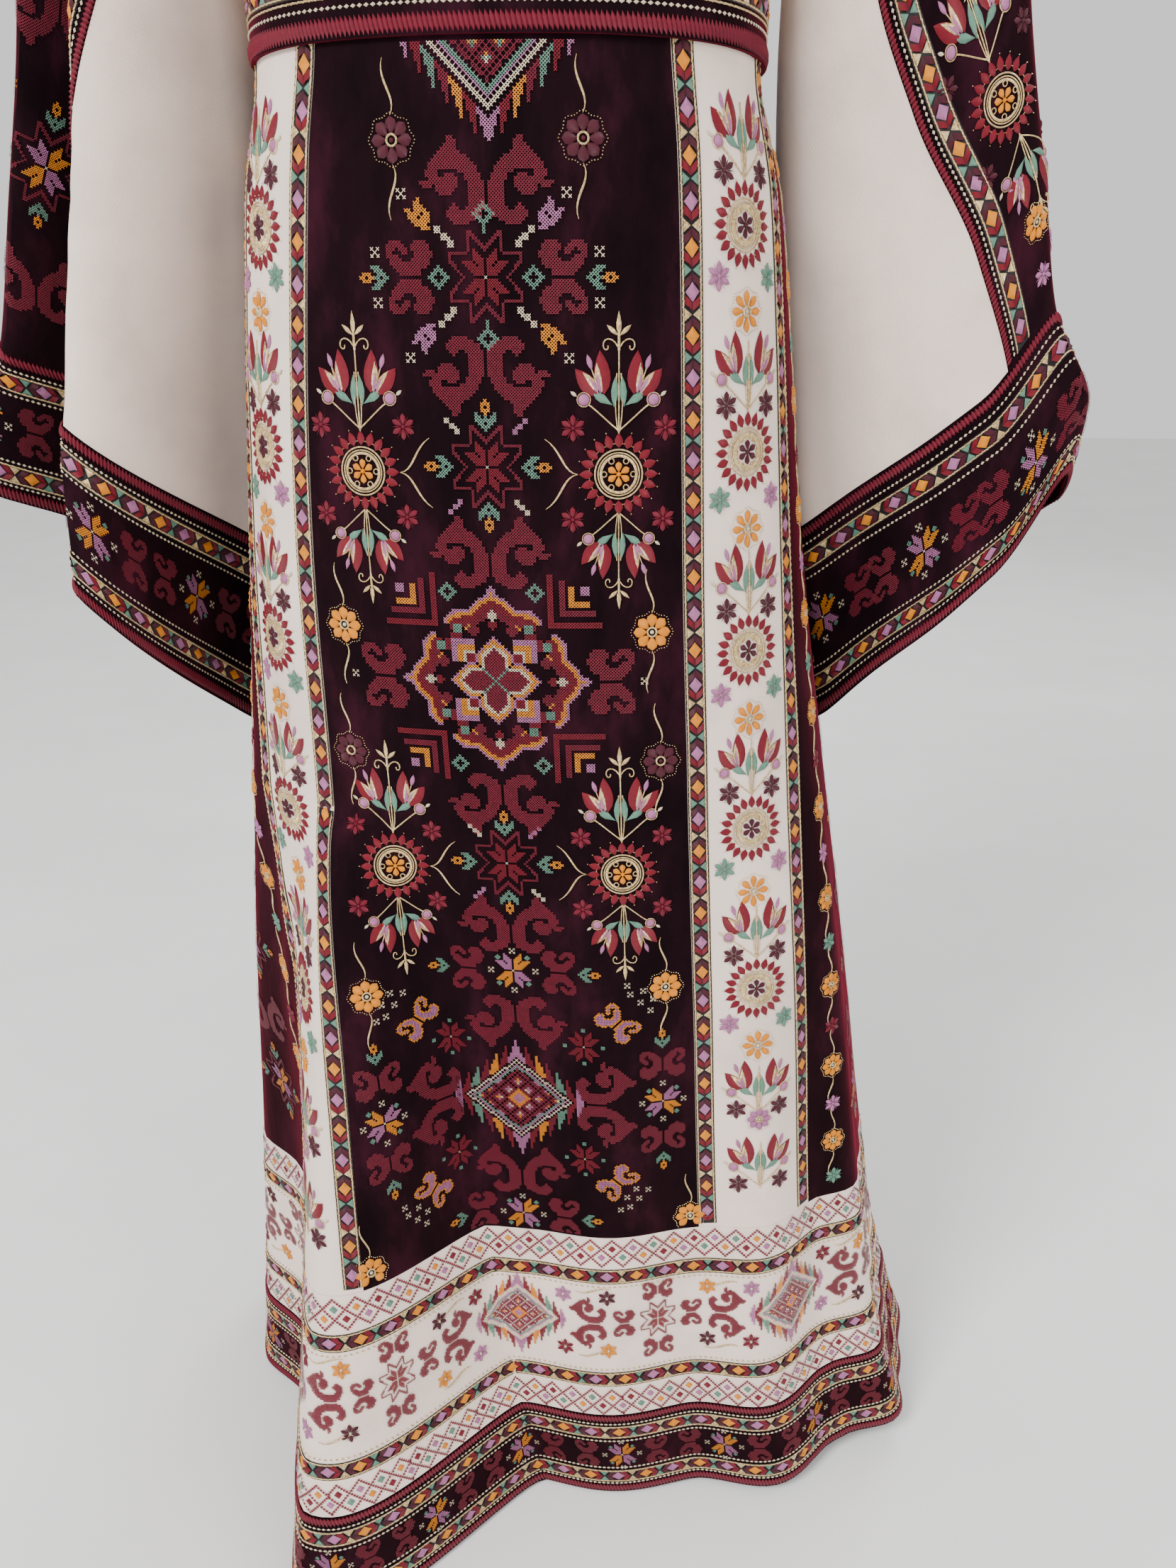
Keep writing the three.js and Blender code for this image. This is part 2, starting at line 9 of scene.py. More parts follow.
import bpy
import mathutils
import numpy as np
from bpy.props import FloatProperty, FloatVectorProperty, PointerProperty
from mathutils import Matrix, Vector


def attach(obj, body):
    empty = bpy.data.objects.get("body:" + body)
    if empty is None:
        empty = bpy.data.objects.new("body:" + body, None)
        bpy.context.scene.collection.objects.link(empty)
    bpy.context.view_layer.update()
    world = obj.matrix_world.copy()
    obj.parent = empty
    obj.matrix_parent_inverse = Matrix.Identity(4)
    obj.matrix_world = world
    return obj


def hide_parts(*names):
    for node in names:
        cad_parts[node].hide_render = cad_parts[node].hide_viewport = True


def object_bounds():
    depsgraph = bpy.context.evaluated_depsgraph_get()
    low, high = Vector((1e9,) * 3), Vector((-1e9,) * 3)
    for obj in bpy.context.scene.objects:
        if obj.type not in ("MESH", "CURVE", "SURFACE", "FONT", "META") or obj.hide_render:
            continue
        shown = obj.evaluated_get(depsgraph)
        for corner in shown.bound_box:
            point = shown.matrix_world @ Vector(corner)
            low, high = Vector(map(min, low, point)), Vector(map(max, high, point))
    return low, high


bl_info = {
    "name": "Embroidered thobe",
    "version": (1, 0, 0),
    "blender": (4, 5, 0),
    "location": "3D View > Sidebar > Thobe",
    "description": "Cloth, braid and hand embroidery for a panelled thobe",
    "category": "Object",
}

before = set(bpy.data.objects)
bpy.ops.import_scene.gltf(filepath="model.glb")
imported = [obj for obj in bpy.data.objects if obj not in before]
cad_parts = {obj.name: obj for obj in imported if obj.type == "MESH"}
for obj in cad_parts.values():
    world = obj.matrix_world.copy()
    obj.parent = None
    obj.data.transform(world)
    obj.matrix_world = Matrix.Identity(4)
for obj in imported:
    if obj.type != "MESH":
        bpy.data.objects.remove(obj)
CAD_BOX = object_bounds()

MM = 0.001
HEM = -1487.0
BORDER = -1232.0
BAND = -1402.0
BELT_TOP = -372.0
BELT_BOTTOM = -450.0
ARMHOLE_BOTTOM = -222.0
ARMHOLE_CORNER = -190.0
ARMHOLE_REACH = 200.0
ARMHOLE_LEAN = math.radians(32)
SHOULDER_SLOPE = 0.25
SHOULDER_START = 70.0
SHOULDER_DEPTH = 200.0
SIDE_LIFT = 22.0
SIDE_LIFT_START = -1150.0
CUFF = 6.0
MOUTH = 8.0


def table(names, rows):
    """Names the columns of a short table: each becomes one array."""
    return dict(zip(names.split(), np.array(rows, float).T))


SECTIONS = table(
    "z centre half front back square",
    [
        [0, 0, 188, 0.3, 0.3, 0],
        [-2.4, 0, 188, 13, 12, 0],
        [-10, 0, 187, 27, 25, 0.01],
        [-26, 0, 184, 42, 39, 0.02],
        [-70, 0, 178, 66, 62, 0.03],
        [-120, 0, 172, 88, 80, 0.03],
        [-200, 0, 167, 112, 98, 0.03],
        [-280, 0, 162, 118, 102, 0.03],
        [-370, 0, 150, 112, 98, 0.03],
        [-450, 0, 151, 115, 102, 0.03],
        [-520, 1, 166, 118, 112, 0.03],
        [-600, 2, 176, 119, 120, 0.03],
        [-720, 3, 190, 120, 126, 0.03],
        [-880, 8, 211, 121, 132, 0.02],
        [-1040, 14, 233, 122, 138, 0.02],
        [-1230, 21, 255, 124, 146, 0.01],
        [-1340, 25, 268, 130, 152, 0.01],
        [-1410, 30, 280, 134, 157, 0.01],
        [-1500, 38, 298, 134, 165, 0.01],
    ],
)
CUT = table(
    "z front swing strip back",
    [
        [0, 75, 0, 90, 160],
        [-190, 80, 0, 90, 150],
        [-450, 98, -4, 90, 150],
        [-500, 104, -2, 90, 154],
        [-670, 115, 4, 90, 168],
        [-870, 121, 5.5, 90, 180],
        [-1030, 126, 7, 92, 190],
        [-1232, 135, 11.5, 97, 205],
        [-1500, 150, 14, 104, 225],
    ],
)
# angle, angle at the hem, start, depth, power, half widths inner and outer (start, hem), shape, push x and y
FOLDS = np.array(
    [
        [-33, -38, -900, 150, 0.75, 16, 35.5, 14, 14, 1.2, 0.03, -1],
        [-62, -60, -620, 16, 0.6, 14, 14, 14, 14, 1.7, 1, 0],
        [17, 8, -850, 9, 0.5, 12, 14, 12, 14, 1.7, 0.1, -1],
        [50, 35, -850, 18, 1, 14, 14, 14, 14, 1.7, 0.3, -1],
        [68, 66, -800, 16, 1, 11, 13, 11, 13, 1.7, 0.8, -0.6],
        [104, 108, -880, 20, 0.8, 14, 16, 14, 16, 1.7, 0.9, 0.5],
        [132, 138, -560, 34, 0.8, 13, 17, 13, 17, 1.7, 0.6, 0.8],
        [163, 168, -500, 24, 0.7, 11, 15, 11, 15, 1.7, 0.1, 1],
        [-166, -162, -540, 36, 0.8, 12, 16, 12, 16, 1.7, -0.1, 1],
        [-138, -134, -600, 26, 0.8, 12, 16, 12, 16, 1.7, -0.6, 0.8],
        [-110, -106, -900, 22, 0.9, 12, 15, 12, 15, 1.7, -0.9, 0.4],
    ]
)
SLEEVE_WORDS = "index outer_x outer_z outer_y inner_x inner_z inner_y front back panel_front panel_back"
SLEEVES = {
    1: table(
        SLEEVE_WORDS,
        [
            [0, 186, -30, 0, 170, -222, 0, 58, 58, 62, 62],
            [1, 236, -85, 0, 168, -270, 2, 54, 54, 80, 62],
            [2, 266, -180, 0, 163, -335, 8, 46, 46, 100, 62],
            [3, 286, -300, 2, 162, -425, 20, 40, 40, 106, 66],
            [4, 306, -420, 4, 168, -540, 46, 36, 36, 86, 78],
            [5, 328, -520, 6, 178, -640, 60, 34, 34, 62, 90],
            [6, 346, -600, 10, 189, -735, 66, 32, 32, 51, 98],
            [7, 374, -655, 12, 204, -808, 70, 32, 32, 51, 98],
            [8, 368, -701, 12, 217, -880, 70, 32, 32, 51, 98],
        ],
    ),
    -1: table(
        SLEEVE_WORDS,
        [
            [0, 186, -30, 0, 170, -222, 0, 58, 58, 62, 62],
            [1, 236, -85, 0, 168, -270, 2, 54, 54, 76, 66],
            [2, 262, -180, -8, 163, -335, 8, 46, 46, 92, 72],
            [3, 276, -300, -18, 162, -425, 18, 44, 40, 98, 76],
            [4, 292, -420, -26, 168, -540, 34, 44, 36, 80, 78],
            [5, 316, -520, -28, 180, -640, 56, 44, 34, 66, 80],
            [6, 336, -600, -30, 190, -752, 66, 44, 32, 62, 82],
            [7, 352, -642, -32, 202, -825, 70, 44, 32, 62, 82],
            [8, 366, -686, -32, 213, -900, 72, 44, 32, 62, 82],
        ],
    ),
}
# angle, half width, start station, push x y z at the cuff, further push x at the mouth
SLEEVE_FOLDS = {
    1: [
        [25, 38, 4, 0, -4, 22, 0],
        [118, 34, 1.5, 0, 10, 0, 0],
        [-60, 30, 1.5, 0, 12, 0, 0],
        [-118, 34, 2.0, 0, -10, 0, 0],
    ],
    -1: [
        [52, 27, 1, -32, 50, -8, 0],
        [88, 48, 1, 2, -48, 12, -20],
        [-64, 30, 1.5, 0, 12, 0, 0],
        [-120, 34, 2.0, 0, -10, 0, 0],
    ],
}


def curve(at, xs, ys):
    """Smooth curve through the rows: each span is a cubic, and the slope at a row is the harmonic mean of the
    slopes on its two sides, or 0 where they differ in sign, so the curve never overshoots."""
    if xs[0] > xs[-1]:
        xs, ys = xs[::-1], ys[::-1]
    span = np.diff(xs)
    slope = np.diff(ys) / span
    tangent = np.concatenate([slope[:1], np.zeros(len(xs) - 2), slope[-1:]])
    same = slope[:-1] * slope[1:] > 0
    total = np.where(same, slope[:-1] + slope[1:], 1)
    tangent[1:-1] = np.where(same, 2 * slope[:-1] * slope[1:] / total, 0)
    at = np.clip(at, xs[0], xs[-1])
    i = np.clip(np.searchsorted(xs, at, side="right") - 1, 0, len(xs) - 2)
    h = span[i]
    u = (at - xs[i]) / h
    return (
        (1 + 2 * u) * (1 - u) ** 2 * ys[i]
        + u * (1 - u) ** 2 * h * tangent[i]
        + u * u * (3 - 2 * u) * ys[i + 1]
        + u * u * (u - 1) * h * tangent[i + 1]
    )


def wrap(angle):
    """Angle less the nearest whole number of turns."""
    return angle - 2 * np.pi * np.round(angle / (2 * np.pi))


def bump(distance, width, shape=1.7):
    """Cosine of a quarter turn times distance over width, to the power shape, and 0 past the width."""
    return np.cos(np.pi / 2 * np.clip(np.abs(distance) / width, 0, 1)) ** shape


def unit(vectors):
    """Each vector divided by its length."""
    return vectors / np.maximum(np.linalg.norm(vectors, axis=-1, keepdims=True), 1e-12)


def body_point(turn, z):
    """Squared ellipse: x = half (sin t + k sin 3t), y = -depth (cos t - k cos 3t), both over 1 - k. Each fold
    adds depth * grown^power * bump in its own direction, the side hem lifts and the shoulders drop."""
    turn, z = np.broadcast_arrays(np.asarray(turn, float), np.asarray(z, float))
    part = {name: curve(z, SECTIONS["z"], column) for name, column in SECTIONS.items()}
    k = part["square"]
    depth = np.where(np.cos(turn) >= 0, part["front"], part["back"])
    x = part["half"] * (np.sin(turn) + k * np.sin(3 * turn)) / (1 - k)
    y = -depth * (np.cos(turn) - k * np.cos(3 * turn)) / (1 - k)
    for angle, low_angle, start, deep, power, inner, low_inner, outer, low_outer, shape, px, py in FOLDS:
        grown = np.clip((start - z) / (start - HEM), 0, 1)
        centre = np.radians(angle + (low_angle - angle) * grown)
        away = wrap(turn - centre)
        ahead = np.sign(-centre) * away > 0
        width = np.where(ahead, inner + (low_inner - inner) * grown, outer + (low_outer - outer) * grown)
        push = deep * grown**power * bump(away, np.radians(width), np.where(ahead, shape, 1.7))
        x = x + push * px
        y = y + push * py
    low = np.clip((SIDE_LIFT_START - z) / (SIDE_LIFT_START - HEM), 0, 1)
    lift = SIDE_LIFT * low**1.5 * np.clip(np.sin(turn), 0, 1) ** 2
    high = np.clip(1 + z / SHOULDER_DEPTH, 0, 1) ** 1.5
    drop = SHOULDER_SLOPE * np.clip(np.abs(x) - SHOULDER_START, 0, None) * high
    return np.stack([x + part["centre"], y, z + lift - drop], -1)


def armhole_height(turn):
    """Half the armhole's depth times 1 - cos of the turn."""
    return ARMHOLE_BOTTOM * (1 - np.cos(turn)) / 2


def armhole_angle(turn):
    """Quarter turn less the armhole's lean times sin of the turn."""
    return np.pi / 2 - ARMHOLE_LEAN * np.sin(turn)


def turn_at(z):
    """Turn of the armhole at a height: the inverse of armhole_height on its front half."""
    return np.arccos(np.clip(1 - 2 * z / ARMHOLE_BOTTOM, -1, 1))


PANEL_TURN = math.radians(62.6)


def sleeve_loft(angle, station, side):
    """Ring between the outer and inner edge points: the middle plus half their difference times cos, less the
    depth times sin, plus each fold's push times its growth from its start to the cuff."""
    rows = SLEEVES[side]
    part = {name: curve(station, rows["index"], column) for name, column in rows.items()}
    c, s = np.cos(angle), np.sin(angle)
    depth = np.where(s >= 0, part["front"], part["back"])
    out = []
    for axis in "xyz":
        outer, inner = part["outer_" + axis], part["inner_" + axis]
        out.append((outer + inner) / 2 + (outer - inner) / 2 * c)
    x, y, z = out
    y = y - depth * s
    for fold, width, start, px, py, pz, mouth_x in SLEEVE_FOLDS[side]:
        grown = np.clip((station - start) / (CUFF - start), 0, 1.1)
        past = np.clip((station - CUFF) / (MOUTH - CUFF), 0, 1)
        push = grown * bump(wrap(angle - math.radians(fold)), math.radians(width))
        x = x + push * (px + past * mouth_x)
        y = y + push * py
        z = z + push * pz
    return np.stack([side * x, y, z], -1)


def sleeve_angle(turn, station, side):
    """Turn of the armhole stretched so that the velvet panel ends at the angles of the sleeve's table."""
    rows = SLEEVES[side]
    front = np.radians(curve(station, rows["index"], rows["panel_front"]))
    back = np.radians(curve(station, rows["index"], rows["panel_back"]))
    at = wrap(turn)
    over = np.where(at > 0, at, at + 2 * np.pi) - PANEL_TURN
    crepe = front + (2 * np.pi - back - front) * over / (2 * np.pi - 2 * PANEL_TURN)
    panel = np.where(at >= 0, at / PANEL_TURN * front, at / PANEL_TURN * back)
    return np.where(np.abs(at) <= PANEL_TURN, panel, crepe)


def sleeve_point(turn, station, side):
    """Sleeve loft at the stretched turn, drawn onto the armhole's edge over station 0 to 1 by (1 - t)^2."""
    turn, station = np.broadcast_arrays(np.asarray(turn, float), np.asarray(station, float))
    point = sleeve_loft(sleeve_angle(turn, station, side), station, side)
    edge = body_point(side * armhole_angle(turn), armhole_height(turn))
    edge = edge + np.array([side * 0.5, 0, 0])
    miss = edge - sleeve_loft(sleeve_angle(turn, 0 * station, side), 0 * station, side)
    return point + miss * (np.clip(1 - station, 0, 1) ** 2)[..., None]


class Cloth:
    """A surface laid out flat. Rings of points, one for each height or length down, are measured round from
    the ring's zero column, and resampled at even lengths so that places can be looked up in whole arrays."""

    STEP = 2.0

    def __init__(self, rings, turns, downs, zero, level=False, outward=1.0):
        gaps = np.diff(rings[..., :2] if level else rings, axis=1)
        length = np.cumsum(np.linalg.norm(gaps, axis=-1), axis=1)
        length = np.concatenate([np.zeros((len(rings), 1)), length], axis=1)
        self.length = length - length[:, zero : zero + 1]
        self.turns = turns
        self.outward = outward
        self.downs = np.asarray(downs, float)
        self.up = 1.0 if self.downs[0] > self.downs[-1] else -1.0
        low = math.floor(self.length.min() / self.STEP)
        high = math.ceil(self.length.max() / self.STEP)
        self.low = low * self.STEP
        grid = np.arange(low, high + 1) * self.STEP
        self.points = np.stack(
            [
                np.stack([np.interp(grid, row, ring[:, k]) for k in range(3)], -1)
                for row, ring in zip(self.length, rings)
            ]
        )
        down = np.gradient(self.points, self.downs, axis=0)
        around = np.gradient(self.points, self.STEP, axis=1)
        self.rate = np.linalg.norm(down, axis=-1, keepdims=True)
        self.normals = outward * unit(np.cross(around, down * self.up))

    def row(self, v):
        """Place among the rings of a height or length down."""
        return np.interp(-self.up * v, -self.up * self.downs, np.arange(len(self.downs)))

    def blend(self, field, row, column):
        """Blend of the four nearest values of a grid, by how near each is along the two directions."""
        column = np.clip(column, 0, field.shape[1] - 1.001)
        r = np.clip(row.astype(int), 0, field.shape[0] - 2)
        c = column.astype(int)
        down, across = row - r, column - c
        if field.ndim == 3:
            down, across = down[..., None], across[..., None]
        top = field[r, c] * (1 - across) + field[r, c + 1] * across
        bottom = field[r + 1, c] * (1 - across) + field[r + 1, c + 1] * across
        return top * (1 - down) + bottom * down

    def look_up(self, field, s, v):
        """Value of a grid at a length round and a height or length down."""
        return self.blend(field, self.row(v), (s - self.low) / self.STEP)

    def around(self, turn, v):
        """Length round the cloth of a turn of its rings."""
        turn, v = np.broadcast_arrays(np.asarray(turn, float), np.asarray(v, float))
        column = np.interp(turn, self.turns, np.arange(len(self.turns)))
        return self.blend(self.length, self.row(v), column)

    def at(self, s, v, lift):
        """Point of the surface plus lift times the outward direction there, in millimetres."""
        s, v, lift = np.broadcast_arrays(np.asarray(s, float), np.asarray(v, float), np.asarray(lift, float))
        normal = unit(self.look_up(self.normals, s, v))
        return self.look_up(self.points, s, v) + normal * lift[..., None]


TURN_STEP = math.pi / 360


def body_cloth():
    """The body's rings at heights that lie closer near the shoulder, measured level round from the front.
    They run past the centre back on both sides, so that the slope is known there."""
    near = -60 * np.linspace(0, 1, 40) ** 2
    heights = np.concatenate([near, np.arange(-65, -1505, -5.0)])
    turns = np.arange(-400, 401) * TURN_STEP
    rings = body_point(turns[None, :], heights[:, None])
    return Cloth(rings, turns, heights, 400, level=True)


def sleeve_cloth(side):
    """A sleeve's rings, from the back seam of its velvet by the outer side and the front to that seam again,
    and a little past it. The zero line is the front seam of the velvet."""
    stations = np.linspace(0, MOUTH, 161)
    turns = PANEL_TURN + np.arange(-300, 641) * TURN_STEP
    rings = sleeve_point(turns[None, :], stations[:, None], side)
    return Cloth(rings, turns, stations, 300, outward=-side)


BODY = body_cloth()
ARMS = {side: sleeve_cloth(side) for side in (1, -1)}


def length_at(angle, z):
    """Length round the body at an angle and a height."""
    return BODY.around(angle, z)


def half_round(side, z):
    """Length from the front centre to the centre back on one side."""
    return side * length_at(side * np.pi, z)


def whole_round(z):
    """Length all round the body."""
    return length_at(np.pi, z) - length_at(-np.pi, z)


def cut(name, z):
    """Width at a height from the table of the cut."""
    return curve(z, CUT["z"], CUT[name])


def front_seam(side, z):
    """Half width of the centre front, more or less its swing to the side."""
    return cut("front", z) - side * cut("swing", z)


def into_armhole(z, in_panel, on_armhole):
    """Down to the armhole's corner a seam is the armhole's edge. Below it the seam is its own place in the
    panel plus its miss of the edge at the corner, times the square of a share that falls from 1 to 0."""
    z = np.asarray(z, float)
    corner = np.full(z.shape, ARMHOLE_CORNER)
    near = np.clip(1 - (ARMHOLE_CORNER - z) / ARMHOLE_REACH, 0, 1) ** 2
    below = in_panel(z) + (on_armhole(corner) - in_panel(corner)) * near
    return np.where(z >= ARMHOLE_CORNER, on_armhole(z), below)


def outer_seam(side, z):
    """Seam between a front strip and the side: the front seam plus the strip's width."""
    return into_armhole(
        z,
        lambda at: front_seam(side, at) + cut("strip", at),
        lambda at: side * length_at(side * armhole_angle(turn_at(at)), at),
    )


def back_seam(side, z):
    """Seam between the back and the side, measured from the centre back."""
    return into_armhole(
        z,
        lambda at: cut("back", at),
        lambda at: half_round(side, at) - side * length_at(side * armhole_angle(-turn_at(at)), at),
    )


BODY_ROWS = np.array(
    [0, -2.4, -10, -26, -60, -100, -145, -190, -235, -290, -330, -372, -411, -450, -500, -560, -630, -705]
    + [-780, -855, -930, -1000, -1060, -1120, -1176, -1232],
    float,
)
GAP = 0.15
TURN_GAP = 0.0016
STATION_GAP = 0.0012
NECK_HALF = 75.0
NECK_FRONT = 70.0
NECK_BACK = 20.0
NECK_REACH = 145.0
BELT_CLEAR = 0.4
SLEEVE_STATION_LENGTH = 100.0
CUFF_DEPTH = 112.0
# Widths that the columns of the body's pieces are counted over, and the sleeve's columns and rows
WIDTH = {"front": 290, "back": 420, "strip": 105, "side": 290, "hem front": 800, "hem back": 900, "belt": 880}
SLEEVE_COUNT = {"panel": 34, "rest": 52, "ring": 97, "down": 84, "cuff": 22}


def finer(values, most):
    """The same values with even steps put between them so that no step is longer than most."""
    parts = [values[:1]]
    for a, b in zip(values[:-1], values[1:]):
        parts.append(np.linspace(a, b, max(1, math.ceil(abs(b - a) / most)) + 1)[1:])
    return np.concatenate(parts)


def link(name, mesh, material):
    """Makes the object of a mesh, gives it its material and lets it ride with the garment."""
    mesh.materials.append(material)
    piece = bpy.data.objects.new(name, mesh)
    bpy.context.scene.collection.objects.link(piece)
    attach(piece, "root")
    return piece


def fill_mesh(name, points, quads, uv=None, tint=None, smooth=True):
    """Mesh from whole arrays: points in millimetres, four corners a face, one uv and one tint a point."""
    mesh = bpy.data.meshes.new(name)
    mesh.vertices.add(len(points))
    mesh.vertices.foreach_set("co", (points * MM).astype(np.float32).ravel())
    mesh.loops.add(quads.size)
    mesh.loops.foreach_set("vertex_index", quads.astype(np.int32).ravel())
    mesh.polygons.add(len(quads))
    mesh.polygons.foreach_set("loop_start", np.arange(0, quads.size, 4, dtype=np.int32))
    mesh.update(calc_edges=True)
    mesh.polygons.foreach_set("use_smooth", np.full(len(quads), smooth))
    if uv is not None:
        layer = mesh.uv_layers.new(name="cloth")
        layer.data.foreach_set("uv", (uv[quads.ravel()] * MM).astype(np.float32).ravel())
    if tint is not None:
        layer = mesh.color_attributes.new(name="thread", type="FLOAT_COLOR", domain="POINT")
        layer.data.foreach_set("color", tint.astype(np.float32).ravel())
    return mesh


def wall(name, cloth, s, v, material, thick, lift=0.0, closed=False, flat=None):
    """Closed wall of cloth: a grid of places, the same grid a thickness further in, and a rim round both.
    Each point is the surface plus its lift along the outward direction."""
    rows, columns = s.shape
    outer = cloth.at(s, v, lift)
    inner = cloth.at(s, v, lift - thick)
    points = np.concatenate([outer.reshape(-1, 3), inner.reshape(-1, 3)])
    across = columns if closed else columns - 1
    r, c = np.meshgrid(np.arange(rows - 1), np.arange(across), indexing="ij")
    a = (r * columns + c).ravel()
    b = (r * columns + (c + 1) % columns).ravel()
    layer = rows * columns
    front = np.stack([a, a + columns, b + columns, b], -1)
    back = front[:, ::-1] + layer
    c = np.arange(across)
    after = (c + 1) % columns
    low = (rows - 1) * columns
    rims = [
        np.stack([c, after, after + layer, c + layer], -1),
        np.stack([low + after, low + c, low + c + layer, low + after + layer], -1),
    ]
    if not closed:
        r = np.arange(rows - 1) * columns
        e = r + columns - 1
        rims.append(np.stack([r + columns, r, r + layer, r + columns + layer], -1))
        rims.append(np.stack([e, e + columns, e + columns + layer, e + layer], -1))
    quads = np.concatenate([front, back, *rims])
    middle = front[len(front) // 2]
    facing = np.cross(points[middle[1]] - points[middle[0]], points[middle[3]] - points[middle[0]])
    if facing @ (points[middle[0]] - points[middle[0] + layer]) < 0:
        quads = quads[:, ::-1]
    if flat is None:
        flat = np.stack([s, v], -1)
    flat = flat.reshape(-1, 2)
    mesh = fill_mesh(name, points, quads, uv=np.concatenate([flat, flat]))
    mesh.set_sharp_from_angle(angle=math.radians(50))
    piece = link(name, mesh, material)
    grid = np.concatenate([outer, outer[:, :1]], axis=1) if closed else outer
    declare_cut(grid * MM)
    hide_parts(name.replace("cloth_", ""))
    return piece


def declare_cut(grid):
    """Works out the flat size of a piece of cloth, its widest row, its longest column and the area of its
    outer side, and neither returns nor keeps it.
    """
    across = np.linalg.norm(np.diff(grid, axis=1), axis=-1).sum(1).max()
    down = np.linalg.norm(np.diff(grid, axis=0), axis=-1).sum(0).max()
    one, two = grid[1:, 1:] - grid[:-1, :-1], grid[1:, :-1] - grid[:-1, 1:]
    area = (np.linalg.norm(np.cross(one, two), axis=-1) / 2).sum()
    area = min(float(area), float(across * down))


def linear(colour):
    """Screen colour to linear light: below 0.04 over 12.92, else ((c + 0.055) / 1.055) to the power 2.4."""
    c = np.asarray(colour, float)
    return np.where(c <= 0.04045, c / 12.92, ((c + 0.055) / 1.055) ** 2.4)


def rgba(colour, times=1.0):
    """Linear colour with full alpha, after the screen colour is made that many times as bright."""
    return (*[float(c) for c in linear([min(1.0, c * times) for c in colour])], 1.0)


def grey(level):
    """Linear grey with full alpha."""
    return (level, level, level, 1)


class Finish:
    """A material in the making: its node tree and its main shader."""

    def __init__(self, name, **sockets):
        self.material = bpy.data.materials.new(f"thobe {name}")
        self.material.use_nodes = True
        self.tree = self.material.node_tree
        self.join = self.tree.links.new
        self.shader = self.tree.nodes["Principled BSDF"]
        self.place = self.add("ShaderNodeTexCoord").outputs["Object"]
        for socket, value in sockets.items():
            self.shader.inputs[socket.replace("_", " ")].default_value = value

    def add(self, kind, settings=(), sockets=(), **joined):
        """New node with its settings, its constant sockets, and the outputs joined to its other sockets."""
        node = self.tree.nodes.new(kind)
        for key, value in dict(settings).items():
            setattr(node, key, value)
        for key, value in dict(sockets).items():
            node.inputs[key].default_value = value
        for key, output in joined.items():
            self.join(output, node.inputs[key])
        return node

    def cloth(self):
        """The piece's own flat coordinates."""
        return self.add("ShaderNodeUVMap", {"uv_map": "cloth"}).outputs["UV"]

    def noise(self, source, scale, detail=3.0, roughness=0.6):
        """Noise texture on a vector output."""
        sockets = {"Scale": scale, "Detail": detail, "Roughness": roughness}
        return self.add("ShaderNodeTexNoise", (), sockets, Vector=source).outputs["Fac"]

    def lines(self, direction, scale, distortion=0.0):
        """Even lines over the piece's own flat coordinates."""
        settings, sockets = {"bands_direction": direction}, {"Scale": scale, "Distortion": distortion}
        return self.add("ShaderNodeTexWave", settings, sockets, Vector=self.cloth()).outputs["Fac"]

    def ramp(self, factor, stops):
        """Colour ramp through (place, linear colour) stops."""
        node = self.add("ShaderNodeValToRGB", Fac=factor)
        band = node.color_ramp
        while len(band.elements) < len(stops):
            band.elements.new(0.5)
        for element, (place, colour) in zip(band.elements, stops):
            element.position = place
            element.color = colour
        return node.outputs["Color"]

    def multiply(self, one, two):
        """Product of two colours."""
        node = self.add("ShaderNodeMix", {"data_type": "RGBA", "blend_type": "MULTIPLY"}, {"Factor": 1.0})
        self.join(one, node.inputs["A"])
        self.join(two, node.inputs["B"])
        return node.outputs["Result"]

    def colour(self, output):
        """Takes the shader's base colour from an output."""
        self.join(output, self.shader.inputs["Base Color"])

    def bumps(self, height, distance, strength, before=None):
        """Bump of a height, in metres, put on the shader's normal after an earlier one."""
        joined = {"Height": height} if before is None else {"Height": height, "Normal": before}
        node = self.add("ShaderNodeBump", (), {"Strength": strength, "Distance": distance}, **joined)
        self.join(node.outputs["Normal"], self.shader.inputs["Normal"])
        return node.outputs["Normal"]


def velvet_material(colours):
    """Dark pile: crushed patches of two plums by noise, the brighter plum a painted highlight where crushed
    pile would catch the light, a burgundy sheen at grazing angles and a fine nap.
    """
    look = Finish(
        "velvet",
        Roughness=0.95,
        Specular_IOR_Level=0.06,
        Sheen_Weight=0.6,
        Sheen_Roughness=0.3,
        Sheen_Tint=rgba(colours.sheen),
    )
    stretch = look.add("ShaderNodeMapping", (), {"Scale": (1.0, 1.0, 0.45)}, Vector=look.place)
    crush_and_highlight = look.noise(stretch.outputs["Vector"], 26.0, 5.0, 0.62)
    # Crushed patches from 0.62 to 2.1 times as bright: the bright ones are painted highlights of crushed
    # pile. The same noise also bumps the pile.
    crushed_highlight_patches = ((0.36, 0.62), (0.52, 1.0), (0.72, 2.1))
    stops = [(place, rgba(colours.velvet, times)) for place, times in crushed_highlight_patches]
    look.colour(look.ramp(crush_and_highlight, stops))
    coarse = look.bumps(crush_and_highlight, 0.002, 0.5)
    look.bumps(look.noise(look.place, 900.0, 2.0), 0.0004, 0.6, coarse)
    return look.material


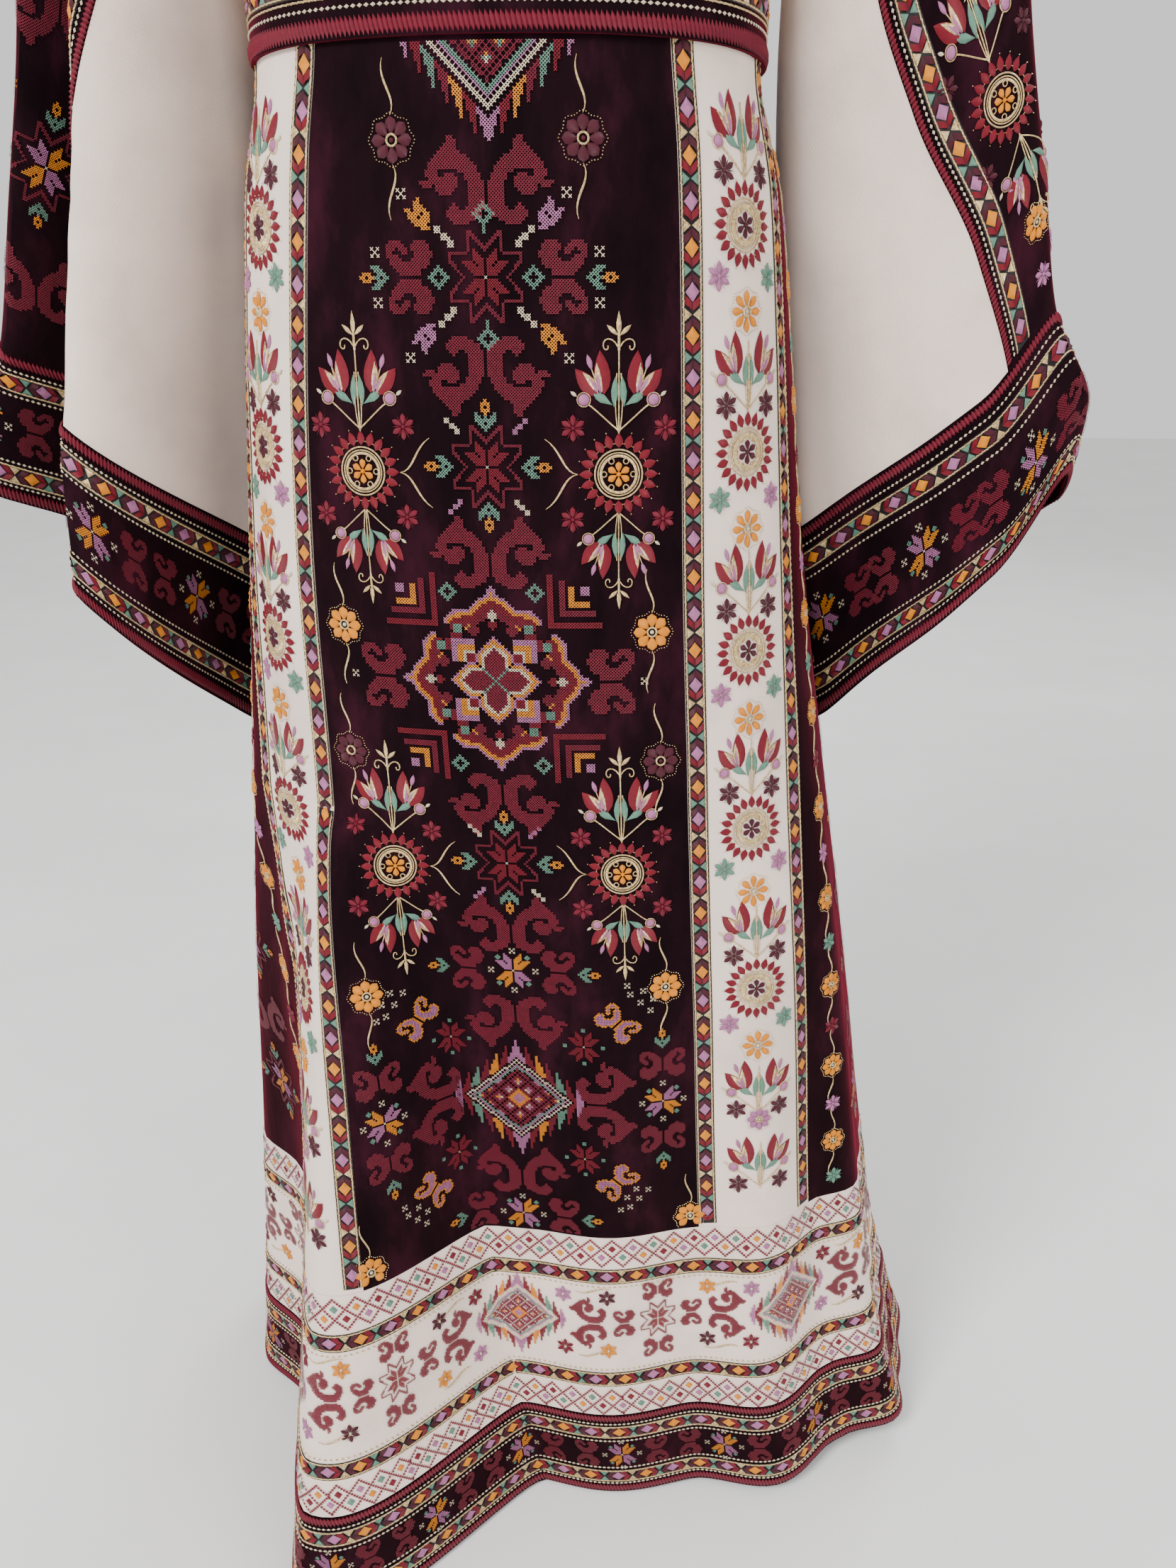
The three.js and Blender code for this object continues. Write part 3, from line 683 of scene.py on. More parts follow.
def crepe_material(colours):
    """Soft crepe: fine diagonal twill lines across its own grain, and faint patches by noise."""
    look = Finish("crepe", Roughness=0.72, Specular_IOR_Level=0.25, Sheen_Weight=0.15)
    twill = look.lines("DIAGONAL", 420.0, 0.6)
    stops = [(place, rgba(colours.crepe, times)) for place, times in ((0.3, 0.94), (0.5, 1.0), (0.7, 1.03))]
    tone = look.ramp(look.noise(look.place, 14.0), stops)
    yarn = look.ramp(twill, [(0.0, (0.90, 0.885, 0.87, 1)), (0.6, grey(1))])
    look.colour(look.multiply(tone, yarn))
    soft = look.bumps(look.noise(look.place, 60.0, 4.0), 0.0012, 0.35)
    look.bumps(twill, 0.00025, 0.5, soft)
    return look.material


def floss_material():
    """Silk floss: each stitch's own colour from its attribute, with strands along it as a fine bump."""
    look = Finish("floss", Roughness=0.48, Specular_IOR_Level=0.3, Sheen_Weight=0.02)
    tint = look.add("ShaderNodeVertexColor", {"layer_name": "thread"}).outputs["Color"]
    uneven = look.noise(look.place, 300.0, 2.0)
    look.colour(look.multiply(tint, look.ramp(uneven, [(0.3, grey(0.78)), (0.7, grey(1))])))
    look.bumps(look.lines("Y", 700.0, 1.0), 0.00025, 0.7)
    return look.material


def gold_material():
    """Metallic gold thread: pale gold that varies along it, with fine windings as a bump."""
    look = Finish("gold thread", Metallic=0.55, Roughness=0.38)
    golds = ((0.3, (0.66, 0.52, 0.32)), (0.55, (0.86, 0.75, 0.55)), (0.75, (0.96, 0.89, 0.72)))
    look.colour(look.ramp(look.noise(look.place, 700.0, 2.0), [(place, rgba(gold)) for place, gold in golds]))
    look.bumps(look.lines("Y", 800.0), 0.0002, 0.7)
    return look.material


class ThobeColours(bpy.types.PropertyGroup):
    """Colours of the cloths and threads."""

    velvet: FloatVectorProperty(
        name="Velvet", description="Velvet seen straight on", subtype="COLOR", default=(0.088, 0.03, 0.052)
    )
    sheen: FloatVectorProperty(
        name="Sheen", description="Velvet at grazing angles", subtype="COLOR", default=(0.82, 0.16, 0.32)
    )
    crepe: FloatVectorProperty(
        name="Crepe", description="Sleeves, strips and border", subtype="COLOR", default=(0.93, 0.85, 0.80)
    )
    floor: FloatVectorProperty(
        name="Floor", description="Studio floor", subtype="COLOR", default=(0.93, 0.925, 0.92)
    )


class ThobeSizes(bpy.types.PropertyGroup):
    """Sizes of the cloths."""

    grid: FloatProperty(
        name="Cloth grid", description="Side of a cell of the cloth's mesh", unit="LENGTH", default=0.0095
    )
    body_wall: FloatProperty(
        name="Body cloth", description="Thickness of panels and borders", unit="LENGTH", default=0.002
    )
    sleeve_wall: FloatProperty(
        name="Sleeve cloth", description="Thickness of sleeves and cuffs", unit="LENGTH", default=0.0016
    )
    belt_wall: FloatProperty(
        name="Belt", description="Thickness of the stiffened belt", unit="LENGTH", default=0.0026
    )
    floor_drop: FloatProperty(
        name="Floor", description="Floor below the lowest point of the hem", unit="LENGTH", default=0.002
    )


def material_named(name):
    """A cloth's or thread's material, made once."""
    made = bpy.data.materials.get(f"thobe {name}")
    if made:
        return made
    colours = bpy.context.scene.thobe_colours
    makers = {
        "velvet": lambda: velvet_material(colours),
        "crepe": lambda: crepe_material(colours),
        "floss": floss_material,
        "gold thread": gold_material,
    }
    return makers[name]()


def rows_to(values, step, bottom, top=None):
    """Rows of a table down to a height, from a first one if it is given, with even steps put between them."""
    kept = [z for z in values if z > bottom and (top is None or z < top)]
    kept = ([] if top is None else [top]) + kept + [bottom]
    return finer(np.array(kept, float), step)


def under_neck(z, drop):
    """Rows above the neck's reach are squeezed below its curve."""
    return np.where(z < -NECK_REACH, z, -drop + (drop - NECK_REACH) * z / -NECK_REACH)


def mixed(a, b, u):
    """From a to b by the share u."""
    return a + (b - a) * u


def shares(width, step, low=0.0):
    """Even shares from low to 1, as many as a width has steps."""
    return np.linspace(low, 1, math.ceil(width / step))[None, :]


def front_panel(step):
    """Columns from seam to seam, closer at the edges, under a neck drop of depth * sqrt(1 - u^2)."""
    z = rows_to(BODY_ROWS, step, BORDER + GAP)[:, None]
    u = np.sin(np.pi / 2 * shares(WIDTH["front"], step, -1))
    at = under_neck(z, NECK_FRONT * np.sqrt(1 - u * u))
    return mixed(GAP - front_seam(-1, at), front_seam(1, at) - GAP, (u + 1) / 2), at


def back_panel(step):
    """The same at the back, measured from the centre back, under a shallower neck."""
    z = rows_to(BODY_ROWS, step, BORDER + GAP)[:, None]
    u = np.linspace(-1, 1, 2 * math.ceil(WIDTH["back"] / 2 / step) + 1)[None, :]
    across = np.minimum(1, np.abs(u) * back_seam(1, np.array(0.0)) / NECK_HALF)
    at = under_neck(z, NECK_BACK * np.sqrt(1 - across**2))
    sign = np.where(u >= 0, 1, -1) + 0 * at
    own = np.where(sign > 0, back_seam(1, at), back_seam(-1, at))
    return sign * half_round(sign, at) - u * (own - GAP), at


def front_strip(side, step):
    """Columns from the front seam to the outer seam."""
    z = rows_to(BODY_ROWS, step, BORDER + GAP)[:, None]
    u = shares(WIDTH["strip"], step)
    s = side * mixed(front_seam(side, z) + GAP, outer_seam(side, z) - GAP, u)
    return s, z + 0 * s


def side_panel(side, step):
    """Columns from the outer seam to the back seam, below a top edge that follows the armhole."""
    u = shares(WIDTH["side"], step)
    corner = turn_at(np.array(ARMHOLE_CORNER))
    turn = mixed(corner, 2 * np.pi - corner, u)
    top = armhole_height(turn)
    edge = length_at(side * armhole_angle(turn), top)
    edge[:, 0] += side * GAP
    edge[:, -1] -= side * GAP
    z = rows_to(BODY_ROWS[BODY_ROWS < ARMHOLE_BOTTOM], step, BORDER + GAP)[:, None]
    s = side * mixed(outer_seam(side, z) + GAP, half_round(side, z) - back_seam(side, z) - GAP, u)
    z = z + 0 * s
    share = np.linspace(0, 1, 6)[:-1, None]
    return (
        np.concatenate([mixed(edge, s[:1], share), s]),
        np.concatenate([mixed(top, z[:1], share), z]),
    )


def ring_columns(z, step):
    """Lengths round the front half from side to side, and round the back half from side to side."""
    left, right = [(outer_seam(side, z) + half_round(side, z) - back_seam(side, z)) / 2 for side in (1, -1)]
    return (
        mixed(GAP - right, left - GAP, shares(WIDTH["hem front"], step)),
        mixed(left + GAP, whole_round(z) - right - GAP, shares(WIDTH["hem back"], step)),
    )


def around_back(s, z):
    """Lengths past the centre back are given from the other end of the ring."""
    return np.where(s > length_at(np.pi, z), s - whole_round(z), s)


def hem_piece(name, top, bottom, material, thick, step):
    """Two walls of one height band, which meet at the sides."""
    z = rows_to([], step, bottom + GAP, top - GAP)[:, None]
    for word, s in zip(("front", "back"), ring_columns(z, step)):
        at = z + 0 * s
        flat = np.stack([s, at], -1)
        wall(f"cloth_{name}_{word}", BODY, around_back(s, at), at, material, thick, flat=flat)


def sleeve_piece(name, side, turns, stations, material, thick, closed=False):
    """Columns at even turns of the armhole, laid on the sleeve's own lengths."""
    cloth = ARMS[side]
    v = stations[:, None] + 0 * turns[None, :]
    s = cloth.around(turns[None, :] + 0 * v, v)
    down = -np.asarray(stations)[:, None] * SLEEVE_STATION_LENGTH
    flat = np.stack([s, down + 0 * s], -1)
    wall(f"cloth_{name}", cloth, s, v, material, thick, closed=closed, flat=flat)


FLOSS = {
    "r": (0.485, 0.025, 0.125),
    "b": (0.46, 0.055, 0.155),
    "p": (0.30, 0.05, 0.13),
    "y": (0.93, 0.56, 0.07),
    "l": (0.71, 0.44, 0.61),
    "m": (0.40, 0.57, 0.49),
    "c": (0.90, 0.83, 0.70),
    "g": (0.83, 0.72, 0.50),
    "k": (0.06, 0.02, 0.04),
}
LETTERS = "." + "".join(FLOSS)
PALETTE = np.array([(0, 0, 0)] + [linear(FLOSS[key]) for key in FLOSS])
PITCH = 1.8


def number(key):
    """Number of a thread in a chart."""
    return LETTERS.index(key)


def tint_of(key):
    """Linear colour of a thread."""
    return PALETTE[number(key)]


def ribbon(left, right, rise, key, ends=0.35):
    """Stitches between two edges of k points each. The middle stands up by rise * (ends + (1 - ends) * sin)
    from end to end, and the edges are painted a little darker, a painted shade where the rounded stitch turns
    away."""
    left, right = np.broadcast_arrays(np.asarray(left, float), np.asarray(right, float))
    if left.ndim == 2:
        left, right = left[None], right[None]
    xy = np.stack([left, (left + right) / 2, right], -2)
    n, k = xy.shape[:2]
    lift = np.zeros((n, k, 3))
    lift[..., 1] = rise * (ends + (1 - ends) * np.sin(np.pi * np.linspace(0, 1, k)))
    # Painted shade: each stitch's two edges take 0.84 of its colour
    tint = tint_of(key) * np.array([0.84, 1.0, 0.84])[:, None] + np.zeros((n, k, 3, 1))
    pace = np.linalg.norm(np.diff(xy[:, :, 1], axis=1), axis=-1)
    along = np.concatenate([np.zeros((n, 1)), pace], 1).cumsum(1)
    width = np.linalg.norm(xy - xy[:, :, 1:2], axis=-1) * np.array([-1, 0, 1])
    uv = np.stack([width, along[..., None] + 0 * width], -1)
    return [{"xy": xy, "lift": lift, "tint": tint, "uv": uv, "gold": key == "g"}]


def leaf(length, width, key, rise, belly, start=0.0, k=5, blunt=1.0):
    """Petal along y from its start: half width = width / 2 * sin(pi u^p)^blunt, widest at the belly."""
    u = np.linspace(0, 1, k)
    half = width / 2 * np.clip(np.sin(np.pi * u ** (math.log(0.5) / math.log(belly))), 0, 1) ** blunt
    y = start + length * u
    return ribbon(np.stack([-half, y], -1), np.stack([half, y], -1), rise, key)


def satin_diamond(half_width, half_height, rise, key):
    """Diamond of two triangles of satin stitch."""
    edge = np.array([(0, -half_height), (half_width, 0), (0, half_height)])
    return ribbon(edge * [-1, 1], edge, rise, key)


def strand(points, width, key, rise, taper=False):
    """Thread along a path: two edges half a width to each side of it, narrowing to its ends if it tapers."""
    points = np.asarray(points, float)
    ahead = unit(np.gradient(points, axis=0))
    side = np.stack([-ahead[:, 1], ahead[:, 0]], -1) * width / 2
    if taper:
        side = side * (0.25 + 0.75 * np.sin(np.pi * np.linspace(0, 1, len(points))))[:, None]
    return ribbon(points + side, points - side, rise, key)


def bow(a, b, c, d, n=9):
    """Cubic Bezier curve through a and d, drawn towards b and c."""
    u = np.linspace(0, 1, n)[:, None]
    a, b, c, d = (np.asarray(p, float) for p in (a, b, c, d))
    return (1 - u) ** 3 * a + 3 * u * (1 - u) ** 2 * b + 3 * u * u * (1 - u) * c + u**3 * d


def circle(radius, width, key, n, rise):
    """Ring of thread."""
    angle = np.linspace(0, 2 * np.pi, n + 1)
    way = np.stack([np.cos(angle), np.sin(angle)], -1)
    return ribbon(way * (radius - width / 2), way * (radius + width / 2), rise, key, ends=1.0)


def disc(radius, key, n, rise):
    """Filled round: a ring whose hole is closed, level from its middle to half way out and low at its rim."""
    angle = np.linspace(0, 2 * np.pi, n + 1)
    way = np.stack([np.cos(angle), np.sin(angle)], -1)
    part = ribbon(way * 0.02, way * radius, rise, key, ends=1.0)
    part[0]["lift"][..., 0] = rise
    # The middle of a disc keeps its full colour, without the painted shade of a stitch's edge. Its rim keeps
    # the painted shade.
    part[0]["tint"][..., 0, :] = tint_of(key)
    return part


FIELDS = ("xy", "lift", "tint", "uv")


def moved(groups, x=0.0, y=0.0, turn=0.0, size=1.0, flip=1):
    """Groups turned, scaled, mirrored where flip is -1, and shifted."""
    c, s = math.cos(turn) * size, math.sin(turn) * size
    out = []
    for group in groups:
        px, py = flip * group["xy"][..., 0], group["xy"][..., 1]
        made = {**group, "xy": np.stack([c * px - s * py + x, s * px + c * py + y], -1)}
        if flip < 0:
            for key in FIELDS:
                made[key] = made[key][:, :, ::-1]
        out.append(made)
    return out


def both(groups):
    """Groups and their mirror image."""
    return groups + moved(groups, flip=-1)


def spun(groups, count, start=0.0):
    """Copies turned evenly round the middle."""
    out = []
    for i in range(count):
        out += moved(groups, turn=start + 2 * math.pi * i / count)
    return out


def gathered(groups):
    """Groups with the same grid and finish joined into one."""
    bins = {}
    for group in groups:
        bins.setdefault((*group["xy"].shape[1:3], group["gold"]), []).append(group)
    out = []
    for kind, same in bins.items():
        whole = {key: np.concatenate([g[key] for g in same]) for key in FIELDS}
        out.append({**whole, "gold": kind[2]})
    return out


def crosses(grid, pitch, x=0.0, y=0.0):
    """Cross stitches: for each cell of the chart, two legs from corner to corner, the second over the first,
    as bright as its colour times 0.85 to 1.15. The chart's rows run upwards and its middle lies at x, y."""
    rows, columns = np.nonzero(grid)
    middle = np.stack([columns - (grid.shape[1] - 1) / 2, rows - (grid.shape[0] - 1) / 2], -1) * pitch
    middle = middle + [x, y]
    shade = 0.85 + 0.3 * np.random.default_rng(len(rows)).random(len(rows))
    tint = PALETTE[grid[rows, columns]] * shade[:, None]
    half, broad = 0.47 * pitch, 0.125 * pitch
    out = []
    for dx, level in ((1, 0.35), (-1, 0.6)):
        way = np.array([dx, 1.0])
        side = np.array([-1.0, dx]) / math.sqrt(2) * broad
        ends = middle[:, None] + np.stack([-way, way]) * half
        xy = np.stack([ends + side, ends - side], 2)
        uv = np.zeros_like(xy)
        uv[:, :, 0, 1], uv[:, :, 1, 1] = -broad, broad
        uv[:, 1, :, 0] = 2 * half
        shades = tint[:, None, None] + 0 * xy[..., :1]
        out.append({"xy": xy, "lift": np.full(xy.shape[:-1], level), "tint": shades, "uv": uv, "gold": False})
    return out


def bold(groups, times=1.8):
    """Cross stitches with their legs that many times as broad."""
    out = []
    for group in groups:
        if group["xy"].shape[1:3] == (2, 2):
            middle = group["xy"].mean(2, keepdims=True)
            group = {**group, "xy": middle + (group["xy"] - middle) * times}
        out.append(group)
    return out


def chart(text):
    """Chart of letters as numbers, its last line the lowest row."""
    rows = text.split("|")[::-1]
    width = max(len(row) for row in rows)
    return np.array([[number(key) for key in row.ljust(width, ".")] for row in rows])


def rimmed(grid, rim, core):
    """Cells with an empty neighbour take the rim's colour and the others the core's."""
    full = np.pad(grid > 0, 1)
    inner = full[:-2, 1:-1] & full[2:, 1:-1] & full[1:-1, :-2] & full[1:-1, 2:]
    return np.where(grid > 0, np.where(inner, number(core), number(rim)), 0)


def fourfold(quarter):
    """Upper right quarter, its first row and column on the axes, mirrored both ways."""
    upper = np.hstack([quarter[:, :0:-1], quarter])
    return np.vstack([upper[:0:-1], upper])


def inside(corners, x, y):
    """True where a ray from the point crosses the outline an odd number of times."""
    found = np.zeros(x.shape, bool)
    for (ax, ay), (bx, by) in zip(corners, np.roll(corners, -1, axis=0)):
        if ay != by:
            found ^= ((ay > y) != (by > y)) & (x < (bx - ax) * (y - ay) / (by - ay) + ax)
    return found


def reach(path, x, y):
    """Distance from each point to the nearest span of a path."""
    best = np.full(x.shape, 1e9)
    for (ax, ay), (bx, by) in zip(path[:-1], path[1:]):
        u = np.clip(((x - ax) * (bx - ax) + (y - ay) * (by - ay)) / ((bx - ax) ** 2 + (by - ay) ** 2), 0, 1)
        best = np.minimum(best, np.hypot(x - ax - u * (bx - ax), y - ay - u * (by - ay)))
    return best


SCROLL = chart(
    ".....bbbbb...........|...bbbbbbbb..........|.bbbbbbbbbbb.........|.bbbbbbbbbbb.........|"
    "bbbbbb..bbb..........|bbbbb....b...........|bbbbb................|bbbbb................|"
    "bbbbb.....bbbb.......|bbbbb....bbbbbb......|bbbbb...bbbbbbb.bbb..|bbbbb...bbbbbbbbbbbb.|"
    ".bbbbb..bbbbbbbbb....|.bbbbb...bbb..bbbb...|..bbbbbb......bbbb...|..bbbbbbbbbbbbbbb....|"
    "...bbbbbbbbbbbbbb....|....bbbbbbbbbbbb.....|.....bbbbbbbbbb......|.......bbbbbbb.......|"
    "........bbbbb........|........bbbb.........|........bbb..........|.........bb.........."
)
HORN = chart(
    "...bbbb....bbbb.|..bbbbbb..bbbbbb|..bbbbbb.bbb.bbb|.bbbbbb..bb...bb|.bbbbbb.....bbbb|"
    "..bbbbbb...bbbb.|..bbbbbbbbbbbbb.|...bbbbbbbbbbb..|.....bbbbbbbb...|.....bbbbbbb...."
)
STAR = chart("...b.....|..bb.....|.bbb.....|bbbb.....|bbb.bbbb.|bb.bbbb..|bbbbbb...|bbbbb....|bbbb.....")
BUD = chart("...y...|..yyy..|..y.y..|..yyy..|m..y..m|mm.m.mm|mmmmmmm|.mm.mm.|..mmm..|...m...")
DROP = chart("...m...|..mmm..|.mm.mm.|mm...mm|.mm.mm.|..mmm..|...m...|...m...|...m...")
TULIP = chart("...b....|...bb...|..bbb...|.bbbb.bb|bb.bbbb.|bbb.bbb.|bbbbbb..|.bbbb...|bbb.....")
STEPS_CHART = chart("....cc|....cc|..cc..|.ccc..|cc....|cc....")
CROSSLET = chart("c.c|.c.|c.c")
LOZENGE = chart("...m...|..mmm..|.mm.mm.|mm...mm|.mm.mm.|..mmm..|...m...")
BLOCK = chart("mm|mm")


def recolour(grid, key):
    """The same chart in one other colour."""
    return np.where(grid > 0, number(key), 0)


CREAM_CROSSLET = recolour(CROSSLET, "c")


def scroll_pair(pitch=PITCH):
    """Two leaf scrolls back to back, their curls up and their leaves down."""
    gap = np.zeros((len(SCROLL), 1), int)
    return crosses(np.hstack([SCROLL[:, ::-1], gap, SCROLL]), pitch)


def horn_pair(pitch, near, rim="b", core="b"):
    """Two horns on the right, mirrored in the level axis, starting at a distance from the middle."""
    half = rimmed(HORN, rim, core)
    whole = np.vstack([half[::-1], np.zeros((1, half.shape[1]), int), half])
    return crosses(whole, pitch, near + half.shape[1] * pitch / 2, 0)


def star(pitch, keys="rrrr", outline="b", centre="c"):
    """Eight pointed star: a quarter chart in four colours, with a zigzag of single stitches round it."""
    size = 16
    quarter = np.zeros((size, size), int)
    x, y = np.meshgrid(np.arange(size), np.arange(size))
    zigzag = np.array([(0, 9.5), (5.5, 15), (6.5, 8.5), (13, 7.5), (13.6, 6.5), (8.2, 0)])
    if outline:
        quarter[reach(zigzag, x, y) < 0.52] = number(outline)
    grid = fourfold(quarter)
    middle = size - 1
    for (dx, dy), key in zip(FOUR, keys):
        part = recolour(STAR, key)[:, ::dx][::dy]
        c = middle + 1 if dx > 0 else middle - 9
        r = middle + 1 if dy > 0 else middle - 9
        block = grid[r : r + 9, c : c + 9]
        block[part > 0] = part[part > 0]
    grid[middle, middle] = number(centre)
    return crosses(grid, pitch)


def round_four(groups, away, start=0.0):
    """Groups that point up, set at a distance from the middle in four directions."""
    return spun(moved(groups, y=away), 4, start)


def rosette():
    """Round flower window: an eight lobed ring in four colours, four petals, corner squares and buds."""
    size = 38
    x, y = np.meshgrid(np.arange(size, dtype=float), np.arange(size, dtype=float))
    lobe = [(0, 33), (2, 29.5), (5, 28), (8, 25), (14, 24), (17, 21), (17, 17)]
    ring = np.array(lobe + [(b, a) for a, b in lobe[-2::-1]] + [(0, 0)])
    away = reach(ring[:-1], x, y)
    within = inside(ring, x, y)
    quarter = np.zeros((size, size), int)
    for deep, key in ((6.4, "b"), (4.6, "r"), (2.6, "y"), (1.2, "l")):
        quarter[within & (away < deep)] = number(key)
    quarter[np.hypot(x - 17, y - 17) <= 3.0] = 0
    petal = np.array([(0, 0), (6.4, 6.6), (6.4, 10), (3.4, 13.2), (0, 15.6)])
    for line in (petal, petal[:, ::-1]):
        corners = np.vstack([line, [[0, 0]]])
        body = inside(corners - 0.3, x, y)
        edge = reach(line[1:], x, y)
        for deep, key in ((19.0, "b"), (3.3, "c"), (2.4, "y"), (1.1, "l")):
            quarter[body & (edge < deep)] = number(key)
    square = (x >= 7) & (x <= 14) & (y >= 7) & (y <= 14)
    far = np.maximum(x, y)
    for low, key in ((7, "r"), (9.5, "c"), (10.5, "y"), (12.5, "l")):
        quarter[square & (far >= low)] = number(key)
    diagonal = (np.abs(x - y) < 0.5) & (x < 5)
    quarter[diagonal] = number("m")
    for bx, by, key in ((0, 19.5, "r"), (0, 22.5, "c"), (7.5, 18.0, "y"), (6.5, 17.5, "b")):
        for px, py in ((bx, by), (by, bx)):
            quarter[(np.abs(x - px) + np.abs(y - py)) < 2.2] = number(key)
    for px, py in ((12, 18), (18, 12)):
        quarter[(np.abs(x - px) < 1.1) & (np.abs(y - py) < 1.1)] = number("m")
    corner = np.minimum(x, y)
    for near, reach_to, key in ((19, 37, "r"), (22.5, 35, "b"), (26, 33, "y")):
        arm = (corner >= near) & (corner < near + 2) & (np.maximum(x, y) < reach_to)
        quarter[arm] = number(key)
    quarter[(np.abs(x - 31) < 2) & (np.abs(y - 31) < 2)] = number("l")
    return crosses(fourfold(quarter), 1.85)


def toothed_diamond(pitch=PITCH, half_w=21, half_h=18):
    """Diamond where |x| / w + |y| / h is the distance: outlines, lattice of small diamonds, stepped teeth."""
    size = half_w + 9
    x, y = np.meshgrid(np.arange(size, dtype=float), np.arange(size, dtype=float))
    d = x / half_w + y / half_h
    quarter = np.zeros((size, size), int)
    near = np.maximum(np.abs((x + y + 4) % 8 - 4), np.abs((x - y + 4) % 8 - 4))
    within = d < 0.78
    quarter[within & (near > 0.5)] = number("r")
    quarter[within & (near > 1.5)] = number("b")
    hearts = np.array([number(k) for k in "clymc"])
    heart = hearts[((x + y) // 8 + np.abs(x - y) // 8).astype(int) % 5]
    quarter = np.where(within & (near < 1.5), heart, quarter)
    quarter[within & (near > 3.5)] = 0
    quarter[x + y < 4.5] = number("y")
    quarter[x + y < 2.5] = number("l")
    quarter[(d > 0.81) & (d < 0.87)] = number("m")
    quarter[(d > 0.87) & (d < 0.92)] = number("l")
    quarter[(d > 0.965) & (d < 1.02)] = number("c")
    line = half_h * (1.08 - x / half_w)
    top = line + 8.0 - 1.9 * (x % 4)
    tooth = (y > line) & (y < top) & (x < half_w + 7)
    keys = np.array([number(k) for k in "lrybmrlrbrylrb"])
    quarter = np.where(tooth, keys[np.clip(x // 4, 0, 13).astype(int)], quarter)
    return crosses(fourfold(quarter), pitch)


def small_flower(key, size, heart=None):
    """Six petals with a hair between each two, round a small heart."""
    petals = spun(leaf(size, size * 0.5, key, 1.0, 0.6, size * 0.12, blunt=0.7), 6)
    hairs = spun(leaf(size * 0.95, size * 0.1, key, 0.5, 0.5, size * 0.1, 3), 6, math.pi / 6)
    return petals + hairs + disc(size * 0.17, heart or key, 8, 1.1)


def big_flower(key, broad=6.4):
    """Eight petals, a dotted outline where the radius is 12.4 + 0.8 cos 8 t, and a gold heart."""
    petals = spun(leaf(8.8, broad, key, 1.5, 0.62, 2.8, 6, blunt=0.62), 8)
    angle = np.linspace(0, 2 * np.pi, 49)[:-1]
    scallop = 12.4 + 0.8 * np.cos(8 * angle)
    outline = []
    for x, y in zip(-scallop * np.sin(angle), scallop * np.cos(angle)):
        outline += moved(disc(0.42, "g", 4, 0.5), x, y)
    return petals + outline + circle(2.9, 1.3, "g", 14, 1.3) + disc(1.4, "p" if key == "p" else "c", 8, 1.0)


def sun(heart, field=3.4):
    """Twenty pointed petals round double gold rings, a scalloped gold field and a small flower."""
    ray = leaf(8.4, 5.2, "r", 1.4, 0.42, 15.0, 5, 0.9)
    ray += moved(disc(0.45, "g", 4, 0.5), y=24.2) + both(moved(disc(0.38, "g", 4, 0.5), 2.3, 17.3))
    rays = spun(ray, 20)
    rings = circle(14.0, 1.0, "g", 36, 0.8) + circle(12.2, 0.8, "g", 36, 0.7)
    middle = circle(11.3 - field / 2, field, "g", 36, 0.55)
    scallops = spun(moved(circle(1.6, 0.7, "g", 8, 0.8), y=8.6), 6, math.pi / 6)
    petals = spun(leaf(6.2, 4.0, heart, 1.5, 0.66, 1.0, 6, blunt=0.62), 6)
    return rays + rings + middle + scallops + petals + disc(1.4, heart, 8, 1.6)


def tulip():
    """Right tulip of a pair: two crimson leaves, gold and lilac ones inside them, and a bud on a thread."""
    out = []
    for length, width, key, rise, belly, k, blunt, x, y, turn in (
        (24, 9.4, "r", 1.2, 0.42, 7, 0.85, 8.5, 44.5, -0.10),
        (19.5, 9.4, "r", 1.2, 0.42, 7, 0.85, 12.5, 43.5, -0.70),
        (16.5, 6.0, "g", 1.5, 0.45, 5, 1, 10.0, 45.5, -0.16),
        (14.5, 6.0, "g", 1.5, 0.45, 5, 1, 12.2, 45.0, -0.62),
        (12.5, 4.0, "l", 1.9, 0.45, 5, 1, 10.4, 45.0, -0.20),
        (11.0, 4.0, "l", 1.9, 0.45, 5, 1, 11.9, 45.0, -0.56),
        (9, 3.2, "l", 1.4, 0.5, 5, 1, 15.5, 57.5, -0.30),
    ):
        out += moved(leaf(length, width, key, rise, belly, 0.0, k, blunt), x, y, turn)
    return out + strand(bow((12, 47), (13, 51), (14.5, 55), (16, 59), 5), 0.7, "g", 1.6)


